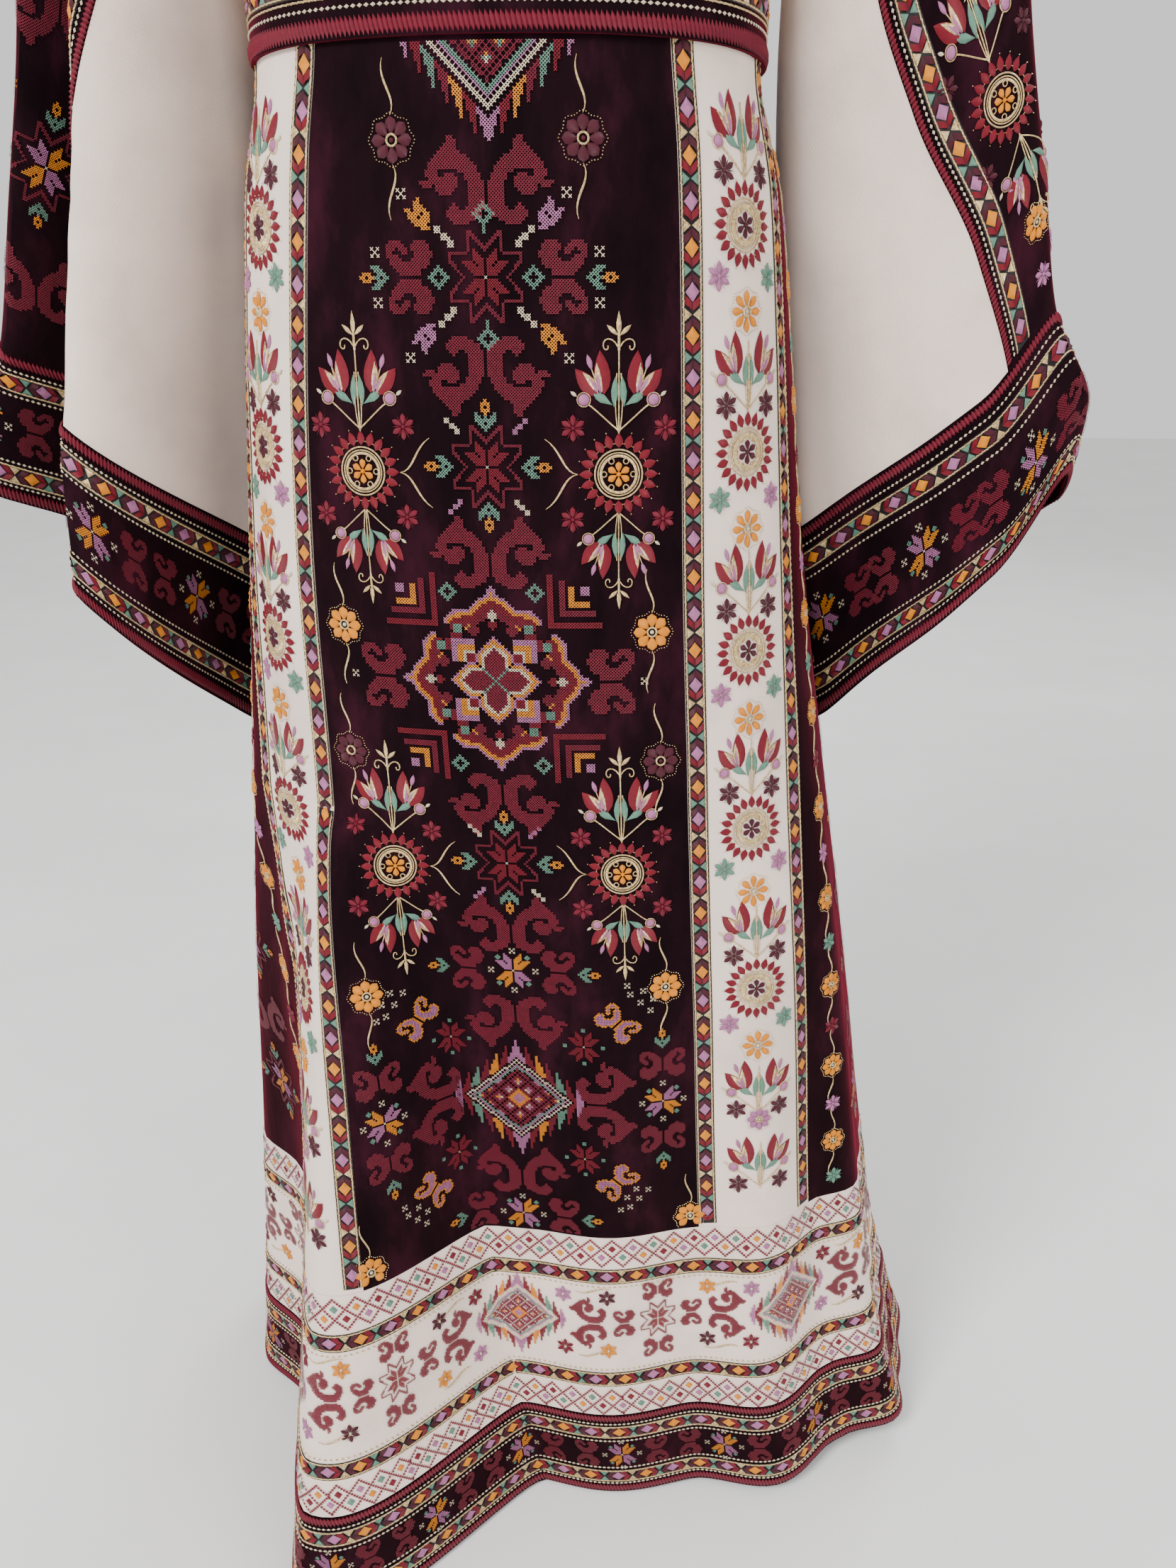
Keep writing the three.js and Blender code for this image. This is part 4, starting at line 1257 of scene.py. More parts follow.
def spray(crown):
    """Stem with mint leaves, a tulip pair, lilac buds, and a finial where it has a crown."""
    out = both(tulip())
    out += both(moved(leaf(17, 4.4, "m", 1.1, 0.5), 2.9, 37.5, 0.06))
    out += both(moved(leaf(13.5, 5.0, "m", 1.1, 0.6), 3.6, 38.5, -1.02))
    out += strand([(0, y) for y in np.linspace(22, 70 if crown else 63, 12)], 0.9, "g", 0.9)
    out += both(strand(bow((0.4, 24), (2, 32), (2.6, 40), (1.2, 56)), 0.7, "g", 0.7))
    out += both(strand(bow((0.6, 25), (7, 30), (13, 36), (17.5, 39)), 0.9, "g", 0.8))
    out += both(moved(disc(3.3, "l", 12, 1.6), 20.2, 41.6))
    out += both(moved(circle(3.9, 0.6, "g", 14, 0.7), 20.2, 41.6))
    out += both(moved(leaf(4.6, 2.2, "c", 0.8, 0.5, k=4), 24.2, 43.4, -0.9))
    if crown:
        out += leaf(13, 3.0, "g", 1.1, 0.4, 76)
        out += both(moved(leaf(8.5, 2.6, "g", 1.0, 0.5), 0.6, 76, -0.85))
        out += strand([(0, y) for y in np.linspace(68, 78, 5)], 1.5, "g", 1.2)
        curl = bow((0.6, 70), (3.5, 76), (9.5, 75), (9.0, 70.5), 7)
        back = bow((9.0, 70.5), (8.6, 67.5), (5.6, 68.0), (6.2, 70.6), 6)
        out += both(strand(np.vstack([curl, back[1:]]), 0.8, "g", 0.9))
    return out


def tendril(way=1):
    """S shaped gold thread that grows upwards."""
    path = bow((0, 0), (5 * way, 9), (-7 * way, 16), (-3 * way, 27), 12)
    return strand(path, 1.3, "g", 0.9, taper=True)


def on_tendrils(flower):
    """A flower with a tendril above it and one below."""
    return flower + moved(tendril(), y=12) + moved(tendril(-1), y=-12, turn=np.pi)


def braid_unit(key):
    """One diamond of the braid in a hexagon of crimson and plum arms."""
    out = satin_diamond(4.3, 5.2, 1.3, key)
    upper = ribbon([(-4.7, 1.6), (-4.7, 6.2)], [(-0.15, 5.7), (-0.15, 9.9)], 0.9, "r", 1.0)
    lower = ribbon([(-4.7, -6.2), (-4.7, -1.6)], [(-0.15, -9.9), (-0.15, -5.7)], 0.9, "p", 1.0)
    return out + both(upper + lower)


def braid_link(key):
    """Pair of small triangles between two hexagons."""
    base = [(-4.8, -3.4), (-4.8, 0.0), (-4.8, 3.4)]
    point = [(-4.7, -3.4), (-0.4, 0.0), (-4.7, 3.4)]
    return both(ribbon(base, point, 0.6, key))


BRAID_REPEAT = 45.4
BRAID_HALF = 7.0
BRAID = gathered(
    braid_unit("y")
    + moved(braid_link("m"), y=BRAID_REPEAT / 4)
    + moved(braid_unit("l"), y=BRAID_REPEAT / 2)
    + moved(braid_link("g"), y=-BRAID_REPEAT / 4)
)


TAPE_EDGE = np.array([(6.8, -3.1), (6.8, 3.1)])
TAPE = ribbon(TAPE_EDGE * [-1, 1], TAPE_EDGE, 0.12, "k", 1.0)
ROPE_STEP = 4.2
ROPE = gathered(strand(bow((-0.25, -2.2), (0.3, -0.8), (-0.3, 0.8), (0.25, 2.2), 4), 1.0, "g", 0.9))


BODY_LIFT = 0.45
SLEEVE_LIFT = 0.25
BELT_LIFT = 3.1


class Thread:
    """Stitches on one cloth, kept as grids of places with a lift, a colour and a place along the thread."""

    def __init__(self, cloth, base=BODY_LIFT, keep=None):
        self.cloth = cloth
        self.base = base
        self.keep = keep
        self.parts = []

    def lay(self, motif, s, v, turn=0.0, size=1.0, lift=0.0):
        """Motif at each place: turned, scaled, then x is added to the length round and y to the height."""
        s, v, turn = np.broadcast_arrays(*[np.atleast_1d(np.asarray(a, float)) for a in (s, v, turn)])
        rate = self.cloth.look_up(self.cloth.rate, s, v)[..., 0]
        four = (-1, 1, 1, 1)
        c, n = np.cos(turn).reshape(four), np.sin(turn).reshape(four)
        for group in gathered(motif):
            x, y = group["xy"][..., 0] * size, group["xy"][..., 1] * size
            places = s.reshape(four) + self.cloth.outward * (c * x - n * y)
            downs = v.reshape(four) + self.cloth.up * (n * x + c * y) / rate.reshape(four)
            k, m = x.shape[1:]
            whole = [places.reshape(-1, k, m), downs.reshape(-1, k, m)]
            for key in ("lift", "tint", "uv"):
                field = group[key] + (lift if key == "lift" else 0.0)
                whole.append(np.broadcast_to(field, (len(s), *field.shape)).reshape(-1, *field.shape[1:]))
            self.parts.append((group["gold"], *whole))

    def follow(self, motif, s, v, spacing, size=1.0, lift=0.0, start=0.5):
        """Motif laid along a path at even spacings, turned so that its y axis runs along the path."""
        s, v = np.broadcast_arrays(np.asarray(s, float), np.asarray(v, float))
        rate = self.cloth.look_up(self.cloth.rate, s, v)[..., 0]
        mid = (rate[1:] + rate[:-1]) / 2
        dx, dy = self.cloth.outward * np.diff(s), self.cloth.up * np.diff(v) * mid
        length = np.concatenate([[0], np.cumsum(np.hypot(dx, dy))])
        count = max(1, round(length[-1] / spacing))
        at = (np.arange(count) + start) * length[-1] / count
        i = np.clip(np.searchsorted(length, at) - 1, 0, len(dx) - 1)
        turn = np.arctan2(dy[i], dx[i]) - np.pi / 2
        self.lay(motif, np.interp(at, length, s), np.interp(at, length, v), turn, size, lift)

    def make(self, name):
        """One piece of floss and one of gold thread, of the stitches that lie wholly where they are kept."""
        for gold in (False, True):
            points, quads, tints, uvs, count = [], [], [], [], 0
            for part in self.parts:
                if part[0] != gold:
                    continue
                s, v, lift, tint, uv = part[1:]
                if self.keep is not None:
                    held = self.keep(v).all((1, 2))
                    s, v, lift, tint, uv = (field[held] for field in (s, v, lift, tint, uv))
                n, k, m = s.shape
                points.append(self.cloth.at(s, v, lift + self.base).reshape(-1, 3))
                tints.append(np.concatenate([tint, np.ones((n, k, m, 1))], -1).reshape(-1, 4))
                uvs.append(uv.reshape(-1, 2))
                i, r, c = np.meshgrid(np.arange(n), np.arange(k - 1), np.arange(m - 1), indexing="ij")
                a = (count + i * k * m + r * m + c).ravel()
                quads.append(np.stack([a, a + 1, a + m + 1, a + m], -1))
                count += n * k * m
            if points:
                mesh = fill_mesh(
                    name + ("_gold" if gold else ""),
                    np.concatenate(points),
                    np.concatenate(quads),
                    np.concatenate(uvs),
                    np.concatenate(tints),
                )
                link(mesh.name, mesh, material_named("gold thread" if gold else "floss"))


def braid(thread, s, v):
    """Braid along a path: a dark tape, its diamonds, and a twisted gold thread along each edge."""
    thread.follow(TAPE, s, v, 6.0)
    thread.follow(BRAID, s, v, BRAID_REPEAT, lift=0.1, start=0.25)
    for way in (-1, 1):
        thread.follow(moved(ROPE, x=way * 5.5), s, v, ROPE_STEP, lift=0.1)


class THOBE_OT_body(bpy.types.Operator):
    """Panels and strips of the body, from shoulder to border"""

    bl_idname = "thobe.body"
    bl_label = "Body cloth"

    def execute(self, context):
        sizes = context.scene.thobe_sizes
        step = sizes.grid / MM
        thick = sizes.body_wall / MM
        velvet, crepe = material_named("velvet"), material_named("crepe")
        wall("cloth_front_panel", BODY, *front_panel(0.75 * step), velvet, thick)
        s, z = back_panel(step)
        flat = np.stack([np.where(s < 0, s + whole_round(z), s), z], -1)
        wall("cloth_back_panel", BODY, s, z, velvet, thick, flat=flat)
        for side, word in ((1, "left"), (-1, "right")):
            wall(f"cloth_front_strip_{word}", BODY, *front_strip(side, step), crepe, thick)
            wall(f"cloth_side_panel_{word}", BODY, *side_panel(side, step), velvet, thick)
        return {"FINISHED"}


class THOBE_OT_hem(bpy.types.Operator):
    """Crepe border and velvet band round the hem"""

    bl_idname = "thobe.hem"
    bl_label = "Hem cloth"

    def execute(self, context):
        sizes = context.scene.thobe_sizes
        step = 0.75 * sizes.grid / MM
        thick = sizes.body_wall / MM
        hem_piece("hem_border", BORDER, BAND, material_named("crepe"), thick, step)
        hem_piece("hem_band", BAND, HEM - GAP, material_named("velvet"), thick, step)
        return {"FINISHED"}


class THOBE_OT_sleeves(bpy.types.Operator):
    """Sleeves, their velvet panels and their cuffs"""

    bl_idname = "thobe.sleeves"
    bl_label = "Sleeves"

    def execute(self, context):
        sizes = context.scene.thobe_sizes
        thick = sizes.sleeve_wall / MM
        velvet, crepe = material_named("velvet"), material_named("crepe")
        count = SLEEVE_COUNT
        down = np.linspace(0, CUFF - STATION_GAP, count["down"])
        low = np.linspace(CUFF + STATION_GAP, MOUTH, count["cuff"])
        for side, word in ((1, "left"), (-1, "right")):
            panel = np.linspace(TURN_GAP - PANEL_TURN, PANEL_TURN - TURN_GAP, count["panel"])
            rest = np.linspace(PANEL_TURN + TURN_GAP, 2 * np.pi - PANEL_TURN - TURN_GAP, count["rest"])
            ring = np.linspace(-PANEL_TURN, 2 * np.pi - PANEL_TURN, count["ring"])[:-1]
            sleeve_piece(f"sleeve_panel_{word}", side, panel, down, velvet, thick)
            sleeve_piece(f"sleeve_{word}", side, rest, down, crepe, thick)
            sleeve_piece(f"cuff_{word}", side, ring, low, velvet, thick, closed=True)
        return {"FINISHED"}


class THOBE_OT_belt(bpy.types.Operator):
    """Stiff belt round the waist"""

    bl_idname = "thobe.belt"
    bl_label = "Belt"

    def execute(self, context):
        sizes = context.scene.thobe_sizes
        thick = sizes.belt_wall / MM
        step = sizes.grid / MM
        z = rows_to([(BELT_TOP + BELT_BOTTOM) / 2], step, BELT_BOTTOM, BELT_TOP)[:, None]
        half = np.linspace(0, 1, math.ceil(WIDTH["belt"] / step) + 1)[None, :-1]
        s = mixed(length_at(-np.pi, z), length_at(np.pi, z), half)
        velvet = material_named("velvet")
        wall("cloth_belt", BODY, s, z + 0 * s, velvet, thick, BELT_CLEAR + thick, closed=True)
        return {"FINISHED"}


class THOBE_OT_braids(bpy.types.Operator):
    """Braids down the four long seams of the front"""

    bl_idname = "thobe.braids"
    bl_label = "Braids"

    def execute(self, context):
        thread = Thread(BODY)
        for side in (1, -1):
            for seam, shift in ((front_seam, BRAID_HALF), (outer_seam, -BRAID_HALF)):
                for top, bottom in ((-3.0, BELT_TOP), (BELT_BOTTOM + 2, BORDER)):
                    z = np.arange(top, bottom, -4.0)
                    braid(thread, side * (seam(side, z) + shift), z)
        thread.make("braids")
        return {"FINISHED"}


# Heights of rows and motifs on the body, and stations of those on the sleeves
FRONT_SCROLLS_DOWN = (-518, -718, -970, -1176)
FRONT_SCROLLS_UP = (-618, -882, -1048)
BELT_DIAMOND = -432.0
GREAT_STAR = -566.0
LESSER_STARS = (-668, -924)
FRONT_SUNS = (-672, -930)
FRONT_SUNS_OUT = 77.0
WINDOW = -798.0
LOW_DIAMOND = -1112.0
LOW_FLOWERS = ((0, -1006), (0, -1216), (105, LOW_DIAMOND), (-105, LOW_DIAMOND))
FRONT_BLOOMS = {"p": ((52, -498), (103, -852)), "y": ((98, -767), (106, -1018), (128, -1220))}
STRIP_SUNS = (-48.0, -168.0, -288.0, -538.0, -662.0, -784.0, -906.0, -1026.0)
STRIP_LOW_SPRAYS = (-1152.0, -1218.0)
STRIP_LOW_FLOWER = -1134.0
STRIP_YELLOW_BELOW = 45.5
STRIP_SMALL_ABOVE = 27.0
STRIP_PLUM_OUT = (-16.5, 16.5)
STRIP_WIDE_OUT = (-21.0, 21.0)
HEM_LATTICES = (-1246.0, -1388.0)
LATTICE_REPEAT = 64.0
HEM_BRAIDS = (-1268.0, -1366.0, -1420.5, -1469.0)
HEM_GOLD_ROWS = (-1277.5, -1356.5)
HEM_BEADS = (-1411.8, -1430.0, -1459.5, -1477.0)
HEM_EDGINGS = ((-1406.0, 7.0), (-1482.5, 8.0))
BORDER_MIDDLE = -1312.0
BORDER_STEP = 206.0
BORDER_START = -20.0
BORDER_FLOWERS = ((1, -1288.0), (-1, -1338.0))
BAND_MIDDLE = -1444.8
BAND_REPEAT = 84.0
SIDE_BLOOMS = np.arange(-500.0, -1215.0, -34.0)
SIDE_SCROLLS = np.arange(-520.0, -1215.0, -58.0)
BELT_EDGINGS = (-377.5, -444.5)
BELT_BEADS = (-386.5, -435.5)
BELT_ROPES = (-390.5, -431.0)
BELT_BRAIDS = (-399.0, -422.5)
BELT_YELLOW_BEADS = (-407.5, -414.0)
BELT_MINT_BEADS = -410.7
SLEEVE_SUNS = np.array([0.55, 1.8, 3.06, 4.32])
SLEEVE_SUN_COLUMN = np.array([-54.0, -53.0, -52.0, -49.0])
SLEEVE_SCROLLS = (0.7, 1.5, 2.3, 3.1, 3.9, 4.66, 5.4)
SLEEVE_BLOOMS = (("y", -43, 5.2), ("p", -78, 4.95), ("y", -104, 4.4), ("y", -140, 5.2))
SLEEVE_SMALL = ((-36, 4.86), (-58, 5.35), (-40, 5.62), (-70, 5.7), (-96, 3.7), (-96, 2.4))
# Rows round a cuff, in millimetres below its seam
CUFF_EDGINGS = ((4.0, 7.0), (107.0, 8.5))
CUFF_BEADS = (10.0, 28.5, 81.5, 100.0)
CUFF_BRAIDS = (19.0, 91.0)
CUFF_FLOWERS = 55.0
CUFF_REPEAT = 92.0
# Four directions, and four places round a motif on a sleeve
FOUR = ((1, 1), (-1, 1), (-1, -1), (1, -1))
AROUND = ((1, 0.3), (-1, 0.3), (1, -0.3), (-1, -0.3))


def both_ways(groups, x, y):
    """Groups at a place and at its image across the level axis."""
    return moved(groups, x, y) + moved(groups, x, -y)


def off_belt(z):
    """True above and below the belt."""
    return (z < BELT_BOTTOM - 1) | (z > BELT_TOP + 1)


def above_border(z):
    """True above the border's seam."""
    return z > BORDER + 2


class THOBE_OT_front(bpy.types.Operator):
    """Cross stitch and silk flowers on the velvet centre front"""

    bl_idname = "thobe.front"
    bl_label = "Front embroidery"

    def execute(self, context):
        thread = Thread(BODY, keep=lambda z: above_border(z) & (z < BELT_BOTTOM - 1))

        def centre(motif, z, x=0.0, turn=0.0, size=1.0):
            """Motif at heights on the middle line of the panel, or beside it by x."""
            z = np.atleast_1d(np.asarray(z, float))
            thread.lay(motif, x - cut("swing", z), z, turn, size)

        pair = gathered(scroll_pair())
        centre(pair, FRONT_SCROLLS_UP)
        centre(pair, FRONT_SCROLLS_DOWN, turn=np.pi)
        for motif, heights in (
            (self.great_star(), GREAT_STAR),
            (self.lesser_star(), LESSER_STARS),
            (rosette(), WINDOW),
            (both(horn_pair(2.0, 55.0)) + both(moved(crosses(CREAM_CROSSLET, 1.5), 93.0, 0)), WINDOW),
            (both(both_ways(crosses(LOZENGE, 1.7), 27.0, 56.0)), WINDOW),
            (toothed_diamond(), LOW_DIAMOND),
            (toothed_diamond(PITCH, 29, 29), BELT_DIAMOND),
        ):
            centre(motif, heights)
        flower = star(1.42, "ylyl", "", "c") + round_four(crosses(BLOCK, 1.6), 14.5, math.pi / 4)
        flower += round_four(crosses(CREAM_CROSSLET, 1.4), 15.5) + both(horn_pair(1.6, 18.0))
        tips = both(moved(crosses(BUD, 1.6), 53.0, 0, -math.pi / 2))
        for x, z in LOW_FLOWERS:
            for motif in (flower, tips):
                centre(motif, z, x, 0.0 if x == 0 else np.pi / 2)
        for x, turn in ((64, np.pi / 2), (-64, -np.pi / 2)):
            centre(pair, LOW_DIAMOND, x, turn)
        tiny = gathered(star(1.3, "rrrr", "", "c") + round_four(crosses(BLOCK, 1.4), 13.5))
        hook = gathered(horn_pair(1.45, -10.0, "y", "l"))
        specks = []
        for x, y in ((-7, 7), (0, 0), (7, -7), (9, 2), (2, 9), (-9, 14)):
            specks += crosses(CREAM_CROSSLET, 1.4, x, y)
        for sx in (1, -1):
            for sy in (1, -1):
                centre(tiny, LOW_DIAMOND + sy * 48, sx * 48)
                centre(hook, LOW_DIAMOND + sy * 66, sx * 70, math.atan2(sy, sx))
                centre(specks, LOW_DIAMOND + sy * 84, sx * 88, 0 if sx == sy else np.pi / 2)
        self.silk(centre)
        thread.make("front_embroidery")
        return {"FINISHED"}

    def great_star(self):
        """Star with drops above and below, horns, beads and buds at its sides, and four small corners."""
        out = star(1.52) + spun(moved(crosses(DROP, PITCH), y=30.0), 2) + both(horn_pair(PITCH, 27.5))
        out += both(moved(crosses(LOZENGE, PITCH), 26.5, 0))
        out += both(moved(crosses(BUD, PITCH), 64.5, 0, -np.pi / 2))
        for (sx, sy), key in zip(FOUR, "lyly"):
            for grid, x, y in (
                (recolour(TULIP, key), 37.0, 32.0),
                (STEPS_CHART, 22.5, 20.5),
                (CROSSLET, 45.5, 42.0),
                (CROSSLET, 63.0, 13.0),
            ):
                out += crosses(grid[::sy, ::sx], PITCH, x * sx, y * sy)
        return out

    def lesser_star(self):
        """Star with a bud in each direction and small steps between them."""
        out = star(1.52) + round_four(crosses(BUD, PITCH), 29.0)
        for (sx, sy), key in zip(FOUR, "lclc"):
            out += crosses(recolour(STEPS_CHART, key)[::sy, ::sx], 1.5, 20.0 * sx, 23.0 * sy)
        return out

    def silk(self, centre):
        """Suns with sprays above and below and small flowers round them, then big flowers on tendrils."""
        medal = gathered(sun("y", 1.6))
        high = gathered(spray(True))
        petals = gathered(small_flower("b", 6.8))
        arms = []
        for way in (1, -1):
            arms += strand(bow((24, 0), (33, way), (33, 14 * way), (43, 20 * way), 10), 1.3, "g", 0.9, True)
        for side in (1, -1):
            for z in FRONT_SUNS:
                x = side * FRONT_SUNS_OUT
                centre(medal, z, x)
                centre(high, z, x)
                centre(high, z, x, np.pi, 0.9)
                centre(arms, z, x, np.pi if side > 0 else 0.0)
                for dx, dz in ((27, 26), (27, -26), (-27, 26), (-27, -26)):
                    centre(petals, z + dz, x + dx)
        for key, places in FRONT_BLOOMS.items():
            bloom = gathered(on_tendrils(big_flower(key)))
            for x, z in places:
                for side in (1, -1):
                    centre(bloom, z, side * x)


def strip_centre(side, z):
    """Middle line of a strip at a height."""
    return side * (front_seam(side, z) + outer_seam(side, z)) / 2


class THOBE_OT_strips(bpy.types.Operator):
    """Silk flowers up the crepe strips"""

    bl_idname = "thobe.strips"
    bl_label = "Strip flowers"

    def execute(self, context):
        thread = Thread(BODY, keep=off_belt)
        medal, low = gathered(sun("p") + spray(False)), gathered(spray(False))
        yellow = gathered(big_flower("y", 4.7))
        plum, lilac, mint = (gathered(small_flower(key, 7.4)) for key in "plm")
        for side in (1, -1):
            for z in STRIP_SUNS:
                at = strip_centre(side, z)
                thread.lay(medal, at, z)
                for x in STRIP_PLUM_OUT:
                    thread.lay(plum, at + x, z + STRIP_SMALL_ABOVE)
            for i, z in enumerate(STRIP_SUNS):
                below = z - STRIP_YELLOW_BELOW
                if BELT_BOTTOM - 2 < below < BELT_TOP:
                    continue
                at = strip_centre(side, below)
                thread.lay(yellow, at, below)
                for x in STRIP_WIDE_OUT:
                    thread.lay(lilac if (i + (x > 0)) % 2 else mint, at + x, z - STRIP_SMALL_ABOVE)
            for z in STRIP_LOW_SPRAYS:
                at = strip_centre(side, z + 40)
                thread.lay(low, at, z)
                for x in STRIP_PLUM_OUT:
                    thread.lay(plum, at + x, z + STRIP_SMALL_ABOVE)
            thread.lay(big_flower("l"), strip_centre(side, STRIP_LOW_FLOWER), STRIP_LOW_FLOWER, size=0.8)
        thread.make("strip_flowers")
        return {"FINISHED"}


def rib(width):
    """One slanting rib of a corded edging, across the path."""
    along = leaf(width, 3.1, "b", 1.6, 0.5, -width / 2, 4, blunt=0.4)
    return gathered(moved(along, turn=math.pi / 2 + 0.25))


def edging(thread, s, v, width):
    """Ribbed burgundy cord along a path."""
    thread.follow(rib(width), s, v, 2.7)


def beads(thread, s, v, key="c", spacing=3.6, size=1.0):
    """Row of small raised stitches."""
    thread.follow(leaf(2.8, 1.9, key, 0.9, 0.5, -1.4, 3, blunt=0.7), s, v, spacing, size)


def hem_path(z):
    """Whole ring of the body at a height, from the centre back round the front."""
    start, end = float(length_at(-np.pi, z)), float(length_at(np.pi, z))
    s = np.linspace(start, end, 400)
    return s, np.full(s.shape, float(z))


def lattice():
    """Band of crossed lines of cross stitch with a satin diamond in each whole opening."""
    pitch = 1.6
    y, x = np.mgrid[0:16, 0:40]
    near = np.maximum(np.abs((x + y + 5) % 10 - 5), np.abs((x - y + 5) % 10 - 5))
    out = bold(crosses(np.where(near == 5, number("b"), 0), pitch), 2.2)
    for i, key in enumerate("ylmrlyrm"):
        up = i % 2
        place = ((10 * (i // 2) + 5 * (1 - up) - 19.5) * pitch, (5 * up - 2.5) * pitch)
        out += moved(satin_diamond(3.1, 3.1, 0.9, key), *place)
    return gathered(out)


def band_flower(pitch):
    """Eight petals in lilac and yellow between two pairs of burgundy horns, lying across the path."""
    out = star(pitch, "ylyl", "", "c") + round_four(crosses(BLOCK, pitch), 9.6 * pitch, math.pi / 4)
    out += round_four(crosses(CREAM_CROSSLET, pitch), 11 * pitch)
    return out + both(horn_pair(pitch, 13.5 * pitch))


class THOBE_OT_border(bpy.types.Operator):
    """Lattice, braids, diamonds and stars round the crepe border and the velvet band"""

    bl_idname = "thobe.border"
    bl_label = "Hem embroidery"

    def execute(self, context):
        thread = Thread(BODY)
        for z in HEM_LATTICES:
            thread.follow(moved(lattice(), turn=-math.pi / 2), *hem_path(z), LATTICE_REPEAT)
        for z in HEM_BRAIDS:
            braid(thread, *hem_path(z))
        for z in HEM_GOLD_ROWS:
            beads(thread, *hem_path(z), "g", 4.2, 0.8)
        thread.make("hem_braids")
        self.border()
        thread = Thread(BODY)
        for z, width in HEM_EDGINGS:
            edging(thread, *hem_path(z), width)
        for z in HEM_BEADS:
            beads(thread, *hem_path(z))
        thread.follow(moved(band_flower(1.28), turn=-math.pi / 2), *hem_path(BAND_MIDDLE), BAND_REPEAT)
        thread.make("hem_band_embroidery")
        return {"FINISHED"}

    def border(self):
        """Diamonds and stars by turns at even steps round the border, scrolls and flowers between them."""
        thread = Thread(BODY)
        scrolls = bold(gathered(scroll_pair(1.2)))
        horns = both(horn_pair(1.15, 17.0))
        middle = bold(gathered(star(1.05, "rrrr", "b", "c") + horns + moved(horns, turn=math.pi / 2)))
        blooms = [gathered(small_flower(key, 6.6, "c")) for key in "plyb"]
        curl = gathered(moved(tendril(), turn=math.pi / 2))
        whole, start = float(whole_round(BORDER_MIDDLE)), float(length_at(-np.pi, BORDER_MIDDLE))
        count = 2 * round(whole / BORDER_STEP)
        step = whole / count
        places = start + (np.arange(count) + 0.5) * step
        places = places - places[np.argmin(np.abs(places - BORDER_START))] + BORDER_START
        places = np.where(places < start, places + whole, places)
        places = np.where(places > start + whole, places - whole, places)
        main = np.round((places - BORDER_START) / step).astype(int) % 2 == 0
        thread.lay(bold(gathered(toothed_diamond(1.42))), places[main], BORDER_MIDDLE)
        thread.lay(middle, places[~main], BORDER_MIDDLE)
        for way in (1, -1):
            thread.lay(scrolls, places[main] + way * step * 0.5, BORDER_MIDDLE, -way * math.pi / 2)
            for i, place in enumerate(places):
                at = place + way * step * (0.33 if main[i] else 0.36)
                for top, z in BORDER_FLOWERS:
                    thread.lay(blooms[(i + top + way) % 4], at, z)
                    if main[i]:
                        thread.lay(curl, at + way * 10, z + top * 5.0, 0 if way < 0 else np.pi)
        thread.make("hem_border_embroidery")


def cuff_ring(arm, down):
    """Whole ring of a cuff, that many millimetres below its seam."""
    v = CUFF + (MOUTH - CUFF) * down / CUFF_DEPTH
    start, end = arm.around(-PANEL_TURN, v), arm.around(2 * np.pi - PANEL_TURN, v)
    s = np.linspace(float(start), float(end), 300)
    return s, np.full(s.shape, v)


